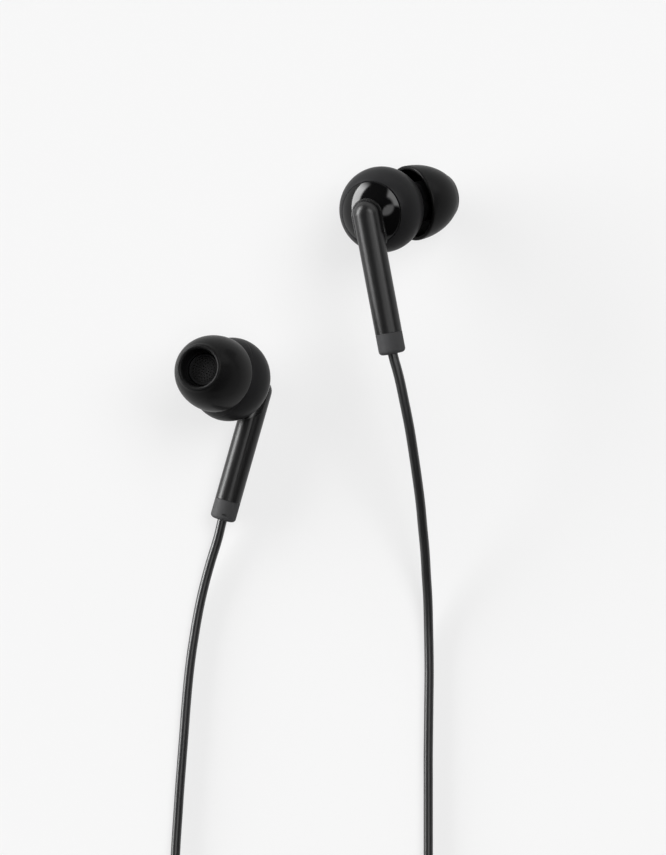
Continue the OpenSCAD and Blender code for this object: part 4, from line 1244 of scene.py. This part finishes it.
class EARPHONES_OT_shells(bpy.types.Operator):
    """Makes the satin shells of the buds, the front ones with their nozzles"""

    bl_idname = "earphones.shells"
    bl_label = "Body shells"

    def execute(self, context):
        sizes = context.scene.earphone_bud
        nozzle = context.scene.earphone_nozzle
        for side in SIDES:
            place = bud_place(side, nozzle)
            back = placed(self.back(sizes), place)
            add_piece(f"{side}_rear_half", back, "satin shell", f"{side}_back_shell")
            front = placed(self.front(sizes, nozzle), place)
            add_piece(f"{side}_ear_half", front, "satin shell", f"{side}_front_shell")
        return {"FINISHED"}

    def back(self, sizes):
        """Rear half of the body, with the ledge that the cap sits on"""
        radius, half = sizes.body_radius, sizes.body_depth / 2
        inner_radius, inner_half = radius - sizes.shell_wall, half - sizes.shell_wall
        cap_bore = sizes.cap_radius + sizes.fit_gap
        rim_radius = cap_bore + sizes.cap_edge
        rim = oval_height(radius, half, rim_radius)
        ledge = -sizes.cap_seat + sizes.cap_ledge_depth
        ledge_radius = cap_bore - sizes.cap_ledge
        shape = revolve(
            oval_arc(radius, half, -rim, sizes.seam_height)
            + oval_arc(inner_radius, inner_half, sizes.seam_height, ledge)
            + [(ledge_radius, ledge), (ledge_radius, -sizes.cap_seat), (cap_bore, -sizes.cap_seat),
               (cap_bore, -rim)],
            closed=True,
            steps=FINE_STEPS,
        )
        return soften(shape, sizes.edge_round / 2, segments=2)

    def front(self, sizes, nozzle):
        """Ear-side half of the body, with the nozzle, its collar and its lip"""
        radius, half = sizes.body_radius, sizes.body_depth / 2
        inner_radius, inner_half = radius - sizes.shell_wall, half - sizes.shell_wall
        seam = sizes.seam_height
        tongue = inner_radius * math.sqrt(1 - (seam / inner_half) ** 2) - sizes.fit_gap
        tongue_inner = tongue - sizes.lap_wall
        ledge_radius = sizes.driver_radius - sizes.driver_ledge
        ledge_front = sizes.driver_front + sizes.driver_ledge_depth
        shape = revolve(
            oval_arc(inner_radius, inner_half, inner_half, ledge_front)
            + [(ledge_radius, ledge_front), (ledge_radius, sizes.driver_front),
               (tongue_inner, sizes.driver_front), (tongue_inner, seam - sizes.lap_length),
               (tongue, seam - sizes.lap_length), (tongue, seam)]
            + oval_arc(radius, half, seam, half),
            steps=FINE_STEPS,
        )
        soften(shape, sizes.edge_round / 2, segments=2)
        lip_start = nozzle.end - nozzle.lip_length
        spout = revolve([
            (0, nozzle.collar_root), (nozzle.collar_radius, nozzle.collar_root),
            (nozzle.collar_radius, nozzle.collar_face), (nozzle.radius, nozzle.collar_face),
            (nozzle.radius, lip_start - nozzle.lip_slope), (nozzle.lip_radius, lip_start),
            (nozzle.lip_radius, nozzle.end - nozzle.lip_slope),
            (nozzle.lip_radius - nozzle.lip_slope / 2, nozzle.end), (0, nozzle.end)])
        soften(spout, sizes.edge_round, segments=2)
        shape = joined(shape, placed(spout, along_nozzle(nozzle)))
        bore = rod(nozzle.bore, nozzle.root, 2 * nozzle.end)
        shape = cut(shape, placed(bore, along_nozzle(nozzle)))
        seat = rod(nozzle.grille_radius + sizes.fit_gap, nozzle.end - nozzle.grille_depth, 2 * nozzle.end)
        return cut(shape, placed(seat, along_nozzle(nozzle)))


class EARPHONES_OT_grilles(bpy.types.Operator):
    """Makes the perforated grilles in the nozzles' mouths"""

    bl_idname = "earphones.grilles"
    bl_label = "Nozzle grilles"

    def execute(self, context):
        nozzle = context.scene.earphone_nozzle
        holes = bmesh.new()
        for ring in range(nozzle.hole_rings + 1):
            count = max(1, 6 * ring)
            away = ring * nozzle.hole_pitch
            for hole in range(count):
                angle = math.tau * hole / count
                at = Matrix.Translation((away * math.cos(angle), away * math.sin(angle), 0))
                bmesh.ops.create_cone(
                    holes, cap_ends=True, segments=10, radius1=nozzle.hole_radius,
                    radius2=nozzle.hole_radius, depth=4 * nozzle.grille_depth, matrix=at,
                )
        edge = 0.04 * MM
        plate = soften(rod(nozzle.grille_radius, 0, nozzle.grille_depth, steps=64), edge, segments=2)
        plate = cut(plate, holes)
        seat = nozzle.end - nozzle.grille_depth
        placed(plate, along_nozzle(nozzle) @ Matrix.Translation((0, 0, seat)))
        for side in SIDES:
            grille = placed(plate.copy(), bud_place(side, nozzle))
            add_piece(f"{side}_grille", grille, "grille", f"{side}_nozzle_mesh")
        plate.free()
        return {"FINISHED"}


class EARPHONES_OT_stems(bpy.types.Operator):
    """Makes the stems and the sleeves at their ends"""

    bl_idname = "earphones.stems"
    bl_label = "Stems and sleeves"

    def execute(self, context):
        sizes = context.scene.earphone_bud
        nozzle = context.scene.earphone_nozzle
        cord_bore = context.scene.earphone_cords.branch_diameter / 2 + sizes.fit_gap
        for side in SIDES:
            place = bud_place(side, nozzle)
            stem = placed(self.stem(sizes), place)
            add_piece(f"{side}_stem_tube", stem, "satin stem", f"{side}_stem")
            sleeve = placed(self.sleeve(sizes, cord_bore), place @ along_stem(sizes))
            add_piece(f"{side}_end_sleeve", sleeve, "sleeve rubber", f"{side}_stem_sleeve")
        return {"FINISHED"}

    def stem(self, sizes):
        """Hollow stem with a round elbow, and a neck whose flange holds it under the cap"""
        radius, end, edge = sizes.stem_radius, sizes.stem_length, sizes.edge_round
        outline = arc(0, 0, radius, -90, 0, 32) + [(radius, end - edge), (radius - edge, end), (0, end)]
        shape = placed(revolve(outline, steps=FINE_STEPS), along_stem(sizes))
        elbow = -sizes.body_depth / 2
        flange = -sizes.cap_seat + sizes.fit_gap
        neck = revolve([
            (0, elbow), (sizes.neck_radius, elbow), (sizes.neck_radius, flange),
            (sizes.flange_radius, flange), (sizes.flange_radius, flange + sizes.flange_depth),
            (0, flange + sizes.flange_depth)])
        shape = joined(shape, neck)
        past_end = end + 1 * MM
        neck_bore = sizes.stem_bore - 0.3 * MM
        bore = arc(0, 0, sizes.stem_bore, -90, 0, 12) + [(sizes.stem_bore, past_end), (0, past_end)]
        shape = cut(shape, placed(revolve(bore, steps=64), along_stem(sizes)))
        return cut(shape, rod(neck_bore, elbow, 0, steps=64))

    def sleeve(self, sizes, cord_bore):
        """Soft sleeve where the cord leaves, along Z, with a small moulding slot near its end"""
        spigot = sizes.stem_bore - sizes.fit_gap
        start = sizes.stem_length
        end = start + sizes.sleeve_length
        edge = sizes.edge_round
        mouth = 0.15 * MM
        outline = (
            [(cord_bore, start - sizes.spigot_length), (spigot, start - sizes.spigot_length),
             (spigot, start), (sizes.stem_radius - edge, start), (sizes.stem_radius, start + edge)]
            + arc(sizes.stem_radius - sizes.sleeve_round, end - sizes.sleeve_round, sizes.sleeve_round, 0, 90)
            + arc(cord_bore + mouth, end - mouth, mouth, 90, 180, 4)
        )
        shape = revolve(outline, closed=True)
        slot_size = (0.5 * MM, 0.7 * MM, 0.22 * MM)
        slot_from_end = 1 * MM
        slot_turn = math.radians(35)
        slot = bmesh.new()
        bmesh.ops.create_cube(slot, size=1)
        bmesh.ops.scale(slot, vec=slot_size, verts=slot.verts)
        bmesh.ops.translate(slot, vec=(sizes.stem_radius, 0, end - slot_from_end), verts=slot.verts)
        return cut(shape, placed(slot, Matrix.Rotation(slot_turn, 4, "Z")))


class EARPHONES_OT_tips(bpy.types.Operator):
    """Makes the silicone ear tips"""

    bl_idname = "earphones.tips"
    bl_label = "Ear tips"

    def execute(self, context):
        tip = context.scene.earphone_tip
        nozzle = context.scene.earphone_nozzle
        gap = context.scene.earphone_bud.fit_gap
        at = along_nozzle(nozzle) @ Matrix.Translation((0, 0, tip.rim))
        for side in SIDES:
            shape = placed(self.tip(tip, nozzle, gap), bud_place(side, nozzle) @ at)
            add_piece(
                f"{side}_silicone_tip", shape, "soft silicone", f"{side}_ear_tip", body=f"{side}_tip"
            )
        return {"FINISHED"}

    def tip(self, tip, nozzle, gap):
        """Tube that grips the nozzle, and a skirt that turns back from the nose, along Z"""
        bore = nozzle.lip_radius + tip.gap
        tube_start = nozzle.collar_face + gap - tip.rim
        tube_step = nozzle.end + gap - tip.rim
        turn_at = tip.height - tip.turn_depth
        reach = turn_at / math.sqrt(1 - (tip.turn_radius / tip.radius) ** 2)
        inside_height = turn_at - tip.wall
        return revolve(
            arc(tip.radius - tip.wall / 2, 0, tip.wall / 2, 180, 360)[1:-1]
            + oval_arc(tip.radius, reach, 0, turn_at)
            + arc(tip.hole + tip.bead, tip.height - tip.bead, tip.bead, 30, 180)
            + [(tip.hole, tube_step), (bore, tube_step), (bore, tube_start), (tip.tube, tube_start),
               (tip.tube, inside_height)]
            + oval_arc(tip.radius - tip.wall, reach - tip.wall, inside_height, 0),
            closed=True,
            steps=FINE_STEPS,
        )


class EARPHONES_OT_inner_parts(bpy.types.Operator):
    """Gives the inner CAD pieces their finishes"""

    bl_idname = "earphones.inner_parts"
    bl_label = "Inner parts"

    def execute(self, context):
        finishes = {f"{side}_{name}": INNER_FINISH[name] for side in SIDES for name in INNER_FINISH}
        finishes["splitter_crimp"] = "crimp brass"
        for node, finish in finishes.items():
            for slot in frame["nodes"][node].material_slots:
                slot.material = bpy.data.materials[finish]
        return {"FINISHED"}


class EARPHONES_OT_declare_cords(bpy.types.Operator):
    # This step does nothing.
    bl_idname = "earphones.declare_cords"
    bl_label = "Declare cords"

    def execute(self, context):
        return {"FINISHED"}


# ---------------------------------------------------------------- panel and registering

STEPS = (
    EARPHONES_OT_finishes,
    EARPHONES_OT_stage,
    EARPHONES_OT_cords,
    EARPHONES_OT_ties,
    EARPHONES_OT_splitter,
    EARPHONES_OT_plug,
    EARPHONES_OT_caps,
    EARPHONES_OT_shells,
    EARPHONES_OT_grilles,
    EARPHONES_OT_stems,
    EARPHONES_OT_tips,
    EARPHONES_OT_inner_parts,
    EARPHONES_OT_declare_cords,
)

SETTINGS = {
    "earphone_bud": BudSizes,
    "earphone_nozzle": NozzleSizes,
    "earphone_tip": TipSizes,
    "earphone_cords": CordSizes,
    "earphone_splitter": SplitterSizes,
    "earphone_plug": PlugSizes,
    "earphone_colours": Colours,
    "earphone_stage": StageLevels,
}


class EARPHONES_PT_pieces(bpy.types.Panel):
    """Lists the steps that make the earphones"""

    bl_idname = "EARPHONES_PT_pieces"
    bl_label = "Wired Earphones"
    bl_space_type = "VIEW_3D"
    bl_region_type = "UI"
    bl_category = "Earphones"

    def draw(self, context):
        for step in STEPS:
            self.layout.operator(step.bl_idname)


def register():
    for group in (*SETTINGS.values(), *STEPS, EARPHONES_PT_pieces):
        bpy.utils.register_class(group)
    for name, group in SETTINGS.items():
        setattr(bpy.types.Scene, name, PointerProperty(type=group))


def unregister():
    for name in SETTINGS:
        delattr(bpy.types.Scene, name)
    for group in reversed((*SETTINGS.values(), *STEPS, EARPHONES_PT_pieces)):
        bpy.utils.unregister_class(group)


def main():
    register()
    for step in STEPS:
        module, name = step.bl_idname.split(".")
        getattr(getattr(bpy.ops, module), name)()


if __name__ == "__main__":
    main()
